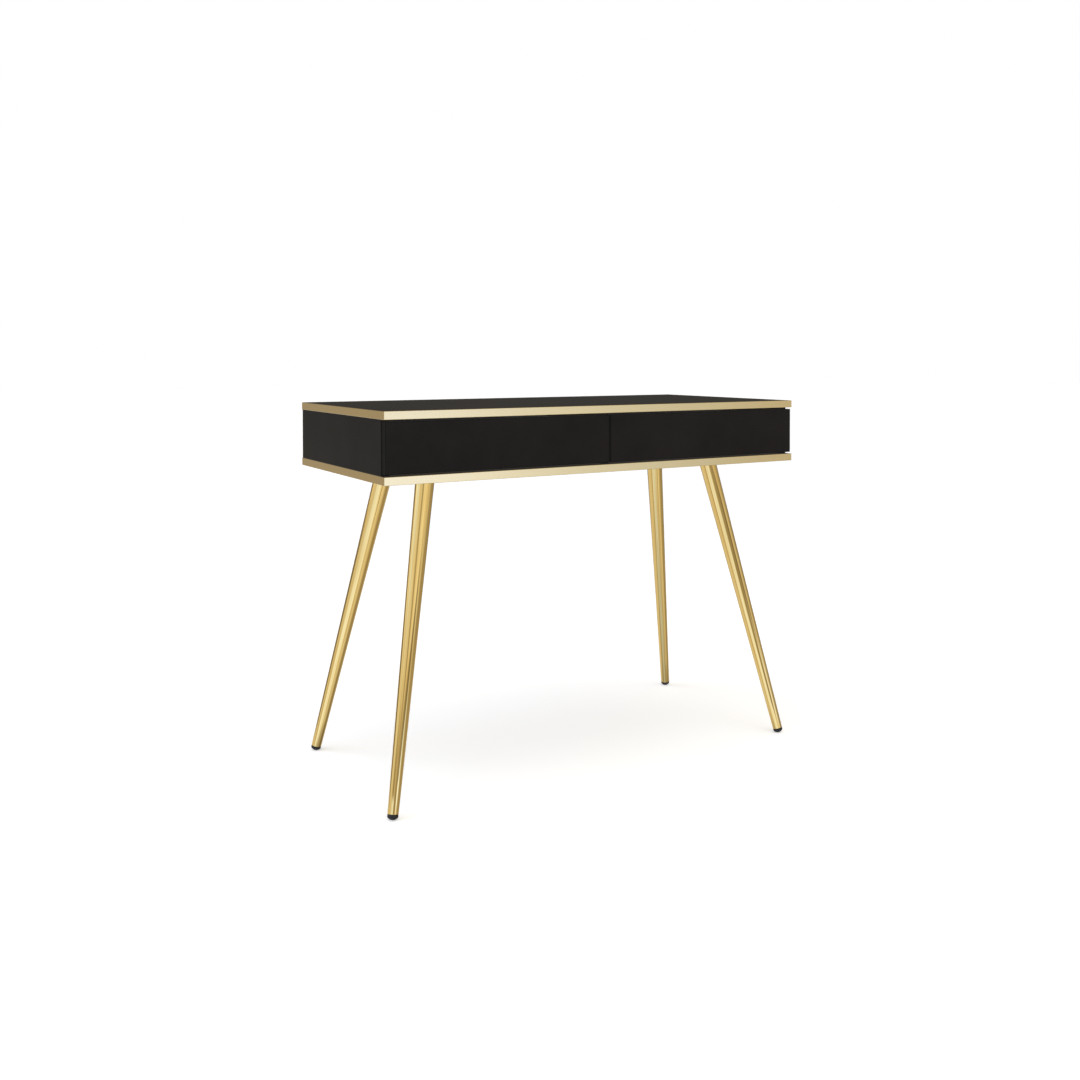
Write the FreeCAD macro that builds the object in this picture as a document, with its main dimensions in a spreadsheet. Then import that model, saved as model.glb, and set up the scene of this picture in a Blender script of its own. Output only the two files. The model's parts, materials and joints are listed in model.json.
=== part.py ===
import FreeCAD, Part
import math
import os
import re
import Sketcher
from FreeCAD import Placement, Rotation, Vector

# Writing desk: two boards with metallic edge bands, a shallow case with two push-to-open drawers
# between them, and four round tapered legs that splay out from the lower board.
# Millimetres. X runs along the desk, +Y points to its back, +Z up.
# The origin is on the floor, under the middle of the desk.

os.makedirs("parts", exist_ok=True)
doc = FreeCAD.newDocument("writing_desk")

# ---- driving dimensions ----------------------------------------------------------------------

dimensions = [
    ("desk_length", 1000, "length of both boards"),
    ("desk_depth", 500, "depth of both boards"),
    ("desk_height", 780, "floor to the upper face"),
    ("board", 16, "thickness of boards, case panels and drawer fronts"),
    ("band", 1, "thickness of every edge band"),
    ("band_ease", 0.4, "chamfer on the outer long edges of the gold bands"),
    ("band_seam", 0.05, "seam between two bands where they meet at a corner"),
    ("case_height", 108, "clear height between the two boards"),
    ("case_inset", 1, "side and back panels behind the ends of the boards"),
    ("panel_setback", 20, "front edges of side panels and divider behind the front of the boards"),
    ("front_recess", 1.5, "drawer front behind the front of the boards"),
    ("front_end_gap", 3, "drawer front inside the end of the boards"),
    ("front_gap", 4, "gap between the two drawer fronts, and above and below them"),
    ("box_side", 12, "thickness of the drawer box boards"),
    ("box_height", 80, "height of the drawer box"),
    ("box_length", 410, "length of the drawer box behind its front"),
    ("box_lift", 12, "underside of the drawer box above the lower board"),
    ("groove_lift", 8, "groove above the underside of the drawer box"),
    ("groove_depth", 5, "depth of the groove for the drawer bottom"),
    ("groove_width", 3.2, "height of that groove"),
    ("bottom_panel", 3, "thickness of the drawer bottom"),
    ("bottom_grip", 4.5, "how far the drawer bottom reaches into each groove"),
    ("slide_width", 12.7, "side space of one drawer slide"),
    ("slide_length", 400, "length of the fixed rail"),
    ("slide_setback", 2, "fixed rail behind the front edge of its panel"),
    ("slide_end_step", 2, "each moving rail starts this much further forward than the one outside it"),
    ("gauge", 1.2, "sheet thickness of the rails"),
    ("lip", 1.6, "height of the turned-in lips of the rails"),
    ("fixed_half", 22.5, "half height of the fixed rail"),
    ("fixed_reach", 9.6, "how far the fixed rail's flanges reach from its panel"),
    ("middle_start", 2.2, "back of the middle rail from the panel"),
    ("middle_half", 17.3, "half height of the middle rail"),
    ("middle_reach", 11.2, "end of the middle rail's flanges from the panel"),
    ("inner_half", 12.1, "half height of the drawer rail"),
    ("inner_start", 4.5, "end of the drawer rail's flanges from the panel"),
    ("cage_length", 190, "length of a ball cage"),
    ("cage_offset", 98, "ball cage behind the front end of the fixed rail"),
    ("cage_sheet", 0.4, "sheet thickness of a ball cage"),
    ("outer_cage_start", 1.5, "web of the outer ball cage from the panel"),
    ("outer_cage_reach", 7.6, "end of the outer ball cage's flanges from the panel"),
    ("outer_ball_line", 5.4, "middle of the outer balls from the panel"),
    ("inner_cage_start", 3.7, "web of the inner ball cage from the panel"),
    ("inner_cage_reach", 9.6, "end of the inner ball cage's flanges from the panel"),
    ("inner_ball_line", 7.4, "middle of the inner balls from the panel"),
    ("ball_radius", 1.6, "radius of a bearing ball"),
    ("ball_pitch", 15, "distance from ball to ball"),
    ("ball_count", 12, "balls in one row"),
    ("latch_gap", 2.5, "free travel between latch plunger and drawer back"),
    ("latch_length", 42, "length of the latch housing"),
    ("latch_width", 18, "width of the latch housing"),
    ("latch_height", 26, "height of the latch housing"),
    ("latch_axis", 18, "plunger axis above the lower board"),
    ("latch_foot_width", 42, "width of the latch's screw-down foot"),
    ("latch_foot", 4, "thickness of that foot"),
    ("latch_screw_reach", 15, "latch screws from the latch's middle"),
    ("plunger_radius", 4, "radius of the latch plunger"),
    ("plunger_proud", 6, "plunger in front of its housing"),
    ("plunger_length", 40, "length of the plunger"),
    ("bore_play", 0.3, "radial play of the plunger in its housing"),
    ("leg_inset_x", 142, "leg axis from the end of the board, at the board"),
    ("leg_inset_y", 139.5, "leg axis from the front or back of the board, at the board"),
    ("leg_tilt", 15, "angle between leg and vertical, leaning out along the diagonal"),
    ("leg_top_radius", 19.55, "outer radius of a leg at the board"),
    ("leg_floor_radius", 10.65, "outer radius that the taper reaches at floor level"),
    ("leg_wall", 1.5, "wall of the leg tube"),
    ("leg_end", 11, "end of the metal above the floor, along the leg"),
    ("leg_trim", 20, "length of tube above the board before it is cut level"),
    ("plate_radius", 42, "radius of the mounting plate"),
    ("plate", 3, "thickness of the mounting plate"),
    ("plate_screw_reach", 23.5, "plate screws from the plate's middle, along X and Y"),
    ("glide_dome", 13, "radius of the glide's dome"),
    ("glide_flat", 0.35, "height worn off the dome where it stands on the floor"),
    ("glide_plug", 14, "how far the glide's plug goes into the leg"),
    ("fit_play", 0.1, "clearance around plugs, dowels and screws"),
    ("cam_drop", 24, "cam lock axis below the upper board"),
    ("cam_radius", 7.5, "radius of a cam lock"),
    ("cam_depth", 12.5, "length of a cam lock"),
    ("bolt_radius", 3, "radius of a cam bolt"),
    ("bolt_grip", 11, "how far a cam bolt goes into the upper board"),
    ("dowel_radius", 4, "radius of a dowel"),
    ("dowel_half", 10, "how far a dowel goes into each board"),
    ("joint_front", 190, "front joints before the middle of the desk"),
    ("joint_rear", 190, "rear joints behind the middle of the desk"),
    ("joint_step", 34, "dowel from its cam bolt"),
    ("back_joint", 260, "back panel's joints from the middle of the desk"),
    ("confirmat_radius", 2.5, "core radius of a confirmat screw"),
    ("confirmat_length", 50, "length of a confirmat screw"),
    ("confirmat_head", 5, "radius of its head"),
    ("confirmat_head_depth", 3, "depth of its head"),
    ("wood_screw", 1.75, "radius of the small wood screws"),
    ("wood_screw_length", 14, "length of the small wood screws below the head"),
    ("pan_head", 4.2, "radius of a pan head"),
    ("pan_head_height", 2.4, "height of a pan head"),
    ("flush_head", 3.2, "radius of the flush heads that sit in the rails"),
    ("rail_screw_length", 10, "length of the rail screws in the wood"),
    ("rail_screw_front", 37, "first rail screw behind the rail's front end"),
    ("rail_screw_pitch", 224, "distance between the two screws of a rail"),
    ("box_screw_radius", 2, "core radius of the screws that hold the drawer box together"),
    ("box_screw_length", 38, "length of those screws"),
    ("box_screw_edge", 15, "those screws from the top and bottom edges of the box"),
    ("front_screw_x", 150, "front fixing screws from the middle of the box"),
    ("front_screw_z", 22, "front fixing screws above and below the middle of the box"),
    ("front_screw_grip", 12, "how far those screws go into the drawer front"),
]

sheet = doc.addObject("Spreadsheet::Sheet", "dims")
for row, (alias, number, meaning) in enumerate(dimensions, start=1):
    sheet.set("A%d" % row, meaning)
    sheet.set("B%d" % row, str(number))
    sheet.setAlias("B%d" % row, alias)
doc.recompute()


aliases = {alias for alias, number, meaning in dimensions}


def dim(expression):
    """Puts the sheet's name before every alias in an expression."""
    return re.sub("[a-z_]+", lambda word: "dims." * (word.group() in aliases) + word.group(), expression)


def value(expression):
    return float(sheet.evalExpression(dim(expression)))


# ---- heights and distances worked out from the sheet -------------------------------------------

top_under = "(desk_height - board)"
case_floor = "(desk_height - board - case_height)"
underside = "(desk_height - 2 * board - case_height)"
panel_front = "(panel_setback - desk_depth / 2)"
back_inner = "(desk_depth / 2 - case_inset - board)"
bay_width = "(desk_length / 2 - case_inset - board * 3 / 2)"
bay_middle = "(desk_length / 4 - case_inset / 2 - board / 4)"
box_width = "(desk_length / 2 - case_inset - board * 3 / 2 - 2 * slide_width)"
front_back_face = "(front_recess + board - desk_depth / 2)"
box_floor = "(desk_height - board - case_height + box_lift)"
rail_height = "(desk_height - board - case_height + box_lift + box_height / 2)"
rail_front = "(panel_setback - desk_depth / 2 + slide_setback)"
latch_front = "(front_recess + board - desk_depth / 2 + box_length + latch_gap)"
leg_x = "(desk_length / 2 - leg_inset_x)"
leg_y = "(desk_depth / 2 - leg_inset_y)"

sides = {"left": -1, "right": 1}
corners = {
    "front_left": (-1, -1),
    "front_right": (1, -1),
    "back_left": (-1, 1),
    "back_right": (1, 1),
}
nodes = {}
on_axis = 1e-9      # a point nearer to a sketch axis than this lies on it
least_cut = 0.5     # mm3 that a hole has to remove


# ---- helpers -----------------------------------------------------------------------------------

def new_body(label, x="0", y="0", z="0"):
    """A body that may hold several separate solids, placed by expressions."""
    body = doc.addObject("PartDesign::Body", label)
    body.Label = label
    body.AllowCompound = True
    for axis, expression in zip("xyz", (x, y, z)):
        body.setExpression("Placement.Base." + axis, dim(expression))
    return body


def origin_feature(body, role):
    for feature in body.Origin.OriginFeatures:
        if feature.Role == role:
            return feature
    raise ValueError(role)


def new_sketch(body, plane, lift="0"):
    sketch = body.newObject("Sketcher::SketchObject", body.Name + "_sketch")
    sketch.AttachmentSupport = [(origin_feature(body, plane), "")]
    sketch.MapMode = "FlatFace"
    sketch.setExpression("AttachmentOffset.Base.z", dim(lift))
    return sketch


def pin_point(sketch, geometry, point, across, along):
    """Ties a point to its sheet-driven coordinates, measured from the sketch origin."""
    for kind, expression, axis in (("DistanceX", across, -2), ("DistanceY", along, -1)):
        if abs(value(expression)) < on_axis:
            sketch.addConstraint(Sketcher.Constraint("PointOnObject", geometry, point, axis))
        else:
            rule = Sketcher.Constraint(kind, -1, 1, geometry, point, value(expression))
            index = sketch.addConstraint(rule)
            sketch.setExpression("Constraints[%d]" % index, dim(expression))


def draw_outline(sketch, points):
    """A closed outline of straight lines through points given as pairs of expressions."""
    places = [Vector(value(across), value(along), 0) for across, along in points]
    first = sketch.GeometryCount
    count = len(places)
    for number in range(count):
        line = Part.LineSegment(places[number], places[(number + 1) % count])
        sketch.addGeometry(line, False)
    for number in range(count):
        following = first + (number + 1) % count
        sketch.addConstraint(Sketcher.Constraint("Coincident", first + number, 2, following, 1))
    for number, (across, along) in enumerate(points):
        pin_point(sketch, first + number, 1, across, along)


def draw_rectangle(sketch, low, high):
    draw_outline(sketch, [low, (high[0], low[1]), high, (low[0], high[1])])


def draw_circles(sketch, centres, radius):
    for across, along in centres:
        centre = Vector(value(across), value(along), 0)
        circle = Part.Circle(centre, Vector(0, 0, 1), value(radius))
        number = sketch.addGeometry(circle, False)
        pin_point(sketch, number, 3, across, along)
        index = sketch.addConstraint(Sketcher.Constraint("Radius", number, value(radius)))
        sketch.setExpression("Constraints[%d]" % index, dim(radius))


def extrude(body, kind, sketch, length, reverse=False):
    """Pads along the sketch's normal, or pockets along it; reverse turns either the other way."""
    feature = body.newObject("PartDesign::" + kind, body.Name + "_" + kind.lower())
    feature.Profile = sketch
    feature.setExpression("Length", dim(length))
    feature.Reversed = reverse if kind == "Pad" else not reverse
    body.Tip = feature
    return feature


def pad_circles(body, plane, lift, centres, radius, length, reverse=False):
    sketch = new_sketch(body, plane, lift)
    draw_circles(sketch, centres, radius)
    return extrude(body, "Pad", sketch, length, reverse)


def drill(body, plane, lift, centres, radius, depth, reverse=False):
    """Round holes that run along the plane's normal from its lifted position."""
    doc.recompute()
    before = body.Shape.Volume
    sketch = new_sketch(body, plane, lift)
    draw_circles(sketch, centres, radius)
    extrude(body, "Pocket", sketch, depth, reverse)
    doc.recompute()
    if not body.Shape.Volume < before - least_cut:
        raise ValueError("a hole in %s cuts nothing" % body.Label)


def keep(label, thing):
    thing.Label = label
    nodes[label] = thing
    return thing


def board(label, length, depth, thickness, x, y, z):
    """A rectangular board: its middle in plan is at x, y and its underside at z."""
    body = new_body(label, x, y, z)
    sketch = new_sketch(body, "XY_Plane")
    half_length = "(%s) / 2" % length
    half_depth = "(%s) / 2" % depth
    draw_rectangle(sketch, ("-" + half_length, "-" + half_depth), (half_length, half_depth))
    extrude(body, "Pad", sketch, thickness)
    return keep(label, body)


def both(expression):
    """The same distance to the left and to the right."""
    return ["-(%s)" % expression, expression]


def grid(across_list, along_list):
    return [(across, along) for across in across_list for along in along_list]


# ---- the joints between boards and case panels --------------------------------------------------
# Every upright panel has two cam bolts with dowels beside them at its top edge, and two
# confirmat screws, driven up through the lower board, at its bottom edge.

upright_y = ["-joint_front", "joint_rear"]
dowel_y = ["joint_step - joint_front", "joint_rear - joint_step"]
panel_x = "(desk_length / 2 - case_inset - board / 2)"
panel_middle_y = "(desk_depth / 2 - case_inset - board / 2)"
back_x = both("back_joint")
back_dowel_x = both("back_joint - joint_step")

bolt_places = (grid(["-" + panel_x, "0", panel_x], upright_y) +
               grid(back_x, [panel_middle_y]))
dowel_places = (grid(["-" + panel_x, "0", panel_x], dowel_y) +
                grid(back_dowel_x, [panel_middle_y]))
plate_screws = [(across, along)
                for across in ("-%s - plate_screw_reach" % leg_x, "-%s + plate_screw_reach" % leg_x,
                               "%s - plate_screw_reach" % leg_x, "%s + plate_screw_reach" % leg_x)
                for along in ("-%s - plate_screw_reach" % leg_y, "-%s + plate_screw_reach" % leg_y,
                              "%s - plate_screw_reach" % leg_y, "%s + plate_screw_reach" % leg_y)]
latch_screw_y = "%s + plunger_proud + latch_length / 2" % latch_front
latch_screws = [("%d * %s %s latch_screw_reach" % (side, bay_middle, sign), latch_screw_y)
                for side in (-1, 1) for sign in ("-", "+")]


# ---- boards --------------------------------------------------------------------------------------

def band_section(outer, side):
    """A strip's section, chamfered on its outer long edges: across the strip, then upwards."""
    face = "%d * (%s)" % (side, outer)
    eased = "%d * (%s - band_ease)" % (side, outer)
    inner = "%d * (%s - band)" % (side, outer)
    return [
        (inner, "0"),
        (eased, "0"),
        (face, "band_ease"),
        (face, "board - band_ease"),
        (eased, "board"),
        (inner, "board"),
    ]


def edge_bands(label, z):
    """Four strips round a board; the long front and back strips cover the ends of the short ones."""
    body = new_body(label, "0", "0", z)
    long_strips = new_sketch(body, "YZ_Plane", "-desk_length / 2")
    for side in (-1, 1):
        draw_outline(long_strips, band_section("desk_depth / 2", side))
    extrude(body, "Pad", long_strips, "desk_length")
    short_strips = new_sketch(body, "XZ_Plane", "band + band_seam - desk_depth / 2")
    for side in (-1, 1):
        draw_outline(short_strips, band_section("desk_length / 2", side))
    extrude(body, "Pad", short_strips, "desk_depth - 2 * band - 2 * band_seam")
    return keep(label, body)


core_length = "desk_length - 2 * band"
core_depth = "desk_depth - 2 * band"

top_board = board("top_board", core_length, core_depth, "board", "0", "0", top_under)
drill(top_board, "XY_Plane", "0", bolt_places, "bolt_radius + fit_play", "bolt_grip + fit_play")
drill(top_board, "XY_Plane", "0", dowel_places, "dowel_radius + fit_play", "dowel_half + fit_play")
edge_bands("top_edge_bands", top_under)

bottom_board = board("bottom_board", core_length, core_depth, "board", "0", "0", underside)
drill(bottom_board, "XY_Plane", "0", bolt_places, "confirmat_radius + fit_play", "board")
drill(bottom_board, "XY_Plane", "0", bolt_places, "confirmat_head + fit_play",
      "confirmat_head_depth + fit_play")
drill(bottom_board, "XY_Plane", "0", plate_screws, "wood_screw + fit_play",
      "wood_screw_length - plate + fit_play")
drill(bottom_board, "XY_Plane", "board", latch_screws, "wood_screw + fit_play",
      "wood_screw_length - latch_foot + fit_play", reverse=True)
edge_bands("bottom_edge_bands", underside)


# ---- case panels ---------------------------------------------------------------------------------

def prepare_upright(body, bolt_along, dowel_along, cams, plane, face, reverse):
    """Bores in a panel's top and bottom edges, and for its cams in the face that lies on a plane."""
    drill(body, "XY_Plane", "case_height", bolt_along, "bolt_radius + fit_play",
          "cam_drop", reverse=True)
    drill(body, "XY_Plane", "case_height", dowel_along, "dowel_radius + fit_play",
          "dowel_half + fit_play", reverse=True)
    drill(body, "XY_Plane", "0", bolt_along, "confirmat_radius + fit_play",
          "confirmat_length - board + fit_play")
    drill(body, plane, face, cams, "cam_radius + fit_play", "cam_depth + fit_play", reverse)


def rail_screw_rows(middle):
    """The places of a rail's screws on a panel, measured from the panel's own middle."""
    return [("%s + rail_screw_front + %d * rail_screw_pitch - %s" % (rail_front, number, middle),
             "box_lift + box_height / 2") for number in (0, 1)]


panel_depth = "(desk_depth - case_inset - panel_setback)"
panel_y = "(panel_setback - case_inset) / 2"
cam_z = "case_height - cam_drop"
for side_name, side in sides.items():
    panel = board(side_name + "_side_panel", "board", panel_depth, "case_height",
                  "%d * %s" % (side, panel_x), panel_y, case_floor)
    bolts = [("0", "%s - %s" % (along, panel_y)) for along in upright_y]
    dowels = [("0", "%s - %s" % (along, panel_y)) for along in dowel_y]
    cams = [(across[1], cam_z) for across in bolts]
    inner_face = "%d * board / 2" % -side
    prepare_upright(panel, bolts, dowels, cams, "YZ_Plane", inner_face, side < 0)
    drill(panel, "YZ_Plane", inner_face, rail_screw_rows(panel_y),
          "wood_screw + fit_play", "rail_screw_length + fit_play", side < 0)

divider_depth = "(%s - %s)" % (back_inner, panel_front)
divider_y = "(%s + %s) / 2" % (back_inner, panel_front)
divider = board("centre_divider", "board", divider_depth, "case_height", "0", divider_y, case_floor)
divider_bolts = [("0", "%s - %s" % (along, divider_y)) for along in upright_y]
divider_dowels = [("0", "%s - %s" % (along, divider_y)) for along in dowel_y]
divider_cams = [(across[1], cam_z) for across in divider_bolts]
prepare_upright(divider, divider_bolts, divider_dowels, divider_cams, "YZ_Plane", "board / 2", True)
drill(divider, "YZ_Plane", "-board / 2", rail_screw_rows(divider_y), "wood_screw + fit_play", "board")

back_length = "(desk_length - 2 * case_inset - 2 * board)"
back_panel = board("back_panel", back_length, "board", "case_height", "0", panel_middle_y, case_floor)
prepare_upright(back_panel, [(across, "0") for across in back_x],
                [(across, "0") for across in back_dowel_x],
                [(across, cam_z) for across in back_x], "XZ_Plane", "board / 2", True)


# ---- case fasteners ------------------------------------------------------------------------------

cam_bolts = keep("case_cam_bolts", new_body("case_cam_bolts", "0", "0", top_under))
pad_circles(cam_bolts, "XY_Plane", "-cam_drop + cam_radius", bolt_places, "bolt_radius",
            "cam_drop - cam_radius + bolt_grip")

dowels_body = keep("case_dowels", new_body("case_dowels", "0", "0", top_under))
pad_circles(dowels_body, "XY_Plane", "-dowel_half", dowel_places, "dowel_radius", "2 * dowel_half")

cam_locks = keep("case_cam_locks", new_body("case_cam_locks", "0", "0", top_under))
cam_level = "-cam_drop"
upright_cams = [(along, cam_level) for along in upright_y]
pad_circles(cam_locks, "YZ_Plane", "%s - board / 2" % panel_x, upright_cams, "cam_radius", "cam_depth")
pad_circles(cam_locks, "YZ_Plane", "board / 2 - %s" % panel_x, upright_cams, "cam_radius", "cam_depth",
            reverse=True)
pad_circles(cam_locks, "YZ_Plane", "board / 2", upright_cams, "cam_radius", "cam_depth", reverse=True)
pad_circles(cam_locks, "XZ_Plane", "-%s" % back_inner, [(across, cam_level) for across in back_x],
            "cam_radius", "cam_depth", reverse=True)

confirmats = keep("case_screws", new_body("case_screws", "0", "0", underside))
pad_circles(confirmats, "XY_Plane", "0", bolt_places, "confirmat_head", "confirmat_head_depth")
pad_circles(confirmats, "XY_Plane", "confirmat_head_depth", bolt_places, "confirmat_radius",
            "confirmat_length - confirmat_head_depth")


# ---- legs ----------------------------------------------------------------------------------------
# A leg's axis meets the floor plane outside its plate: the splay is the same along X and Y.

splay = "%s * tan(leg_tilt * 1 deg) / sqrt(2)" % underside
axis_length = "%s / cos(leg_tilt * 1 deg)" % underside
slope = "(leg_top_radius - leg_floor_radius) / (%s)" % axis_length


def lean(thing, corner):
    """Stands a piece built along Z on a leg's axis, its own origin where the axis meets the floor."""
    across, along = corner
    tilt_axis = Vector(along, -across, 0)
    thing.Placement = Placement(Vector(), Rotation(tilt_axis, value("leg_tilt")))
    thing.setExpression("Placement.Rotation.Angle", dim("leg_tilt"))
    thing.setExpression("Placement.Base.x", dim("%d * (%s + %s)" % (across, leg_x, splay)))
    thing.setExpression("Placement.Base.y", dim("%d * (%s + %s)" % (along, leg_y, splay)))


def slab(name, low, high):
    """A block as wide as the desk between two heights, for trimming level with the floor or plate."""
    block = doc.addObject("Part::Box", name)
    block.setExpression("Length", dim("2 * desk_length"))
    block.setExpression("Width", dim("2 * desk_depth"))
    block.setExpression("Height", dim("%s - (%s)" % (high, low)))
    block.setExpression("Placement.Base.x", dim("-desk_length"))
    block.setExpression("Placement.Base.y", dim("-desk_depth"))
    block.setExpression("Placement.Base.z", dim(low))
    return block


def make_leg(corner_name, corner):
    """A tapered tube, cut square at the foot and level where it is welded to its plate."""
    profile = new_body("tube_" + corner_name)
    sketch = new_sketch(profile, "XZ_Plane")
    top = "%s + leg_trim" % axis_length
    foot_radius = "leg_floor_radius + leg_end * %s" % slope
    top_radius = "leg_floor_radius + (%s) * %s" % (top, slope)
    inward = -corner[0]
    draw_outline(sketch, [
        ("%d * (%s - leg_wall)" % (inward, foot_radius), "leg_end"),
        ("%d * (%s)" % (inward, foot_radius), "leg_end"),
        ("%d * (%s)" % (inward, top_radius), top),
        ("%d * (%s - leg_wall)" % (inward, top_radius), top),
    ])
    turn = profile.newObject("PartDesign::Revolution", "turn_" + corner_name)
    turn.Profile = sketch
    turn.ReferenceAxis = (origin_feature(profile, "Z_Axis"), [""])
    turn.Angle = 360
    profile.Tip = turn
    lean(profile, corner)
    leg = doc.addObject("Part::Common", "leg_" + corner_name)
    leg.Base = profile
    leg.Tool = slab("leg_room_" + corner_name, "0", "%s - plate" % underside)
    return keep("leg_" + corner_name, leg)


def make_glide(corner_name, corner):
    """A plastic cap: a plug in the tube, a collar and a dome with a small flat on the floor."""
    profile = new_body("cap_" + corner_name)
    sketch = new_sketch(profile, "XZ_Plane")
    dome_centre = "(glide_dome - glide_flat) / cos(leg_tilt * 1 deg)"
    collar = "leg_floor_radius"
    dome_top = "%s - sqrt(glide_dome * glide_dome - %s * %s)" % (dome_centre, collar, collar)
    plug = "leg_floor_radius + leg_end * %s - leg_wall - fit_play" % slope
    points = [
        ("0", "%s - glide_dome" % dome_centre),
        (collar, dome_top),
        (collar, "leg_end"),
        (plug, "leg_end"),
        (plug, "leg_end + glide_plug"),
        ("0", "leg_end + glide_plug"),
    ]
    places = [Vector(value(across), value(along), 0) for across, along in points]
    centre = Vector(0, value(dome_centre), 0)
    start = -math.pi / 2
    end = math.atan2(places[1].y - centre.y, places[1].x)
    circle = Part.Circle(centre, Vector(0, 0, 1), value("glide_dome"))
    sketch.addGeometry(Part.ArcOfCircle(circle, start, end), False)
    for number in range(1, len(places)):
        following = places[(number + 1) % len(places)]
        sketch.addGeometry(Part.LineSegment(places[number], following), False)
    for number in range(1, len(places)):
        following = (number + 1) % len(places)
        sketch.addConstraint(Sketcher.Constraint("Coincident", number, 2, following, 1))
    sketch.addConstraint(Sketcher.Constraint("Coincident", 0, 2, 1, 1))
    sketch.addConstraint(Sketcher.Constraint("PointOnObject", 0, 3, -2))
    for number, (across, along) in enumerate(points):
        pin_point(sketch, number, 1, across, along)
    turn = profile.newObject("PartDesign::Revolution", "cap_turn_" + corner_name)
    turn.Profile = sketch
    turn.ReferenceAxis = (origin_feature(profile, "Z_Axis"), [""])
    turn.Angle = 360
    profile.Tip = turn
    lean(profile, corner)
    glide = doc.addObject("Part::Common", "glide_" + corner_name)
    glide.Base = profile
    glide.Tool = slab("glide_room_" + corner_name, "0", "glide_dome + leg_end + glide_plug")
    return keep("glide_" + corner_name, glide)


for corner_name, corner in corners.items():
    make_leg(corner_name, corner)
for corner_name, corner in corners.items():
    make_glide(corner_name, corner)

plates = keep("leg_plates", new_body("leg_plates", "0", "0", "%s - plate" % underside))
pad_circles(plates, "XY_Plane", "0", grid(both(leg_x), both(leg_y)), "plate_radius", "plate")
drill(plates, "XY_Plane", "0", plate_screws, "wood_screw + fit_play", "plate")

screws = keep("leg_screws", new_body("leg_screws", "0", "0", "%s - plate" % underside))
pad_circles(screws, "XY_Plane", "-pan_head_height", plate_screws, "pan_head", "pan_head_height")
pad_circles(screws, "XY_Plane", "0", plate_screws, "wood_screw", "wood_screw_length")


# ---- drawer slides -------------------------------------------------------------------------------
# Each slide is three nested channels. Distances are taken from the case panel inwards;
# the two slides of a drawer mirror each other about the middle of the bay.

def channel(side, near, reach, half, opens_inwards=True):
    """A channel section with turned-in lips. Its web is at `near`, its flanges end at `reach`."""
    direction = "+" if opens_inwards else "-"
    outline = [
        (near, "-%s" % half),
        (reach, "-%s" % half),
        (reach, "lip + gauge - %s" % half),
        ("%s %s -gauge" % (reach, direction), "lip + gauge - %s" % half),
        ("%s %s -gauge" % (reach, direction), "gauge - %s" % half),
        ("%s %s gauge" % (near, direction), "gauge - %s" % half),
        ("%s %s gauge" % (near, direction), "%s - gauge" % half),
        ("%s %s -gauge" % (reach, direction), "%s - gauge" % half),
        ("%s %s -gauge" % (reach, direction), "%s - lip - gauge" % half),
        (reach, "%s - lip - gauge" % half),
        (reach, half),
        (near, half),
    ]
    return [("%d * (%s - (%s))" % (side, bay_width + " / 2", across), along) for across, along in outline]


def rail_pair(label, bay, start, sections, length):
    body = new_body(label, "%d * %s" % (bay, bay_middle), start, rail_height)
    sketch = new_sketch(body, "XZ_Plane")
    for section in sections:
        draw_outline(sketch, section)
    extrude(body, "Pad", sketch, length, reverse=True)
    return keep(label, body)


def cage_section(side, near, reach, level):
    """A thin U section: its web between two rails, its flanges carry the balls."""
    outline = [
        (near, "-%s - cage_sheet / 2" % level),
        (reach, "-%s - cage_sheet / 2" % level),
        (reach, "-%s + cage_sheet / 2" % level),
        ("%s + cage_sheet" % near, "-%s + cage_sheet / 2" % level),
        ("%s + cage_sheet" % near, "%s - cage_sheet / 2" % level),
        (reach, "%s - cage_sheet / 2" % level),
        (reach, "%s + cage_sheet / 2" % level),
        (near, "%s + cage_sheet / 2" % level),
    ]
    return [("%d * (%s - (%s))" % (side, bay_width + " / 2", across), along) for across, along in outline]


def ball_cages(label, bay, near, reach, level, ball_from_panel):
    """Cages for both slides of a drawer, with their rows of balls above and below."""
    start = "%s + cage_offset" % rail_front
    sections = [cage_section(side, near, reach, level) for side in (-1, 1)]
    body = rail_pair(label, bay, start, sections, "cage_length")
    doc.recompute()
    ball = body.newObject("PartDesign::AdditiveSphere", label + "_ball")
    ball.setExpression("Radius", dim("ball_radius"))
    ball.AttachmentSupport = [(origin_feature(body, "XY_Plane"), "")]
    ball.MapMode = "FlatFace"
    ball.setExpression("AttachmentOffset.Base.x", dim("%s / 2 - %s" % (bay_width, ball_from_panel)))
    row_start = "(cage_length - (ball_count - 1) * ball_pitch) / 2"
    ball.setExpression("AttachmentOffset.Base.y", dim(row_start))
    ball.setExpression("AttachmentOffset.Base.z", dim(level))
    body.Tip = ball
    doc.recompute()
    row = body.newObject("PartDesign::MultiTransform", label + "_rows")
    row.Originals = [ball]
    line = body.newObject("PartDesign::LinearPattern", label + "_line")
    line.Direction = (origin_feature(body, "Y_Axis"), [""])
    line.setExpression("Length", dim("(ball_count - 1) * ball_pitch"))
    line.setExpression("Occurrences", dim("ball_count"))
    across = body.newObject("PartDesign::Mirrored", label + "_across")
    across.MirrorPlane = (origin_feature(body, "YZ_Plane"), [""])
    below = body.newObject("PartDesign::Mirrored", label + "_below")
    below.MirrorPlane = (origin_feature(body, "XY_Plane"), [""])
    row.Transformations = [line, across, below]
    body.Tip = row


rail_screw_y = ["rail_screw_front", "rail_screw_front + rail_screw_pitch"]
wall_screws = keep("case_rail_screws", new_body("case_rail_screws", "0", rail_front, rail_height))
wall_screw_places = [(along, "0") for along in rail_screw_y]

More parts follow.
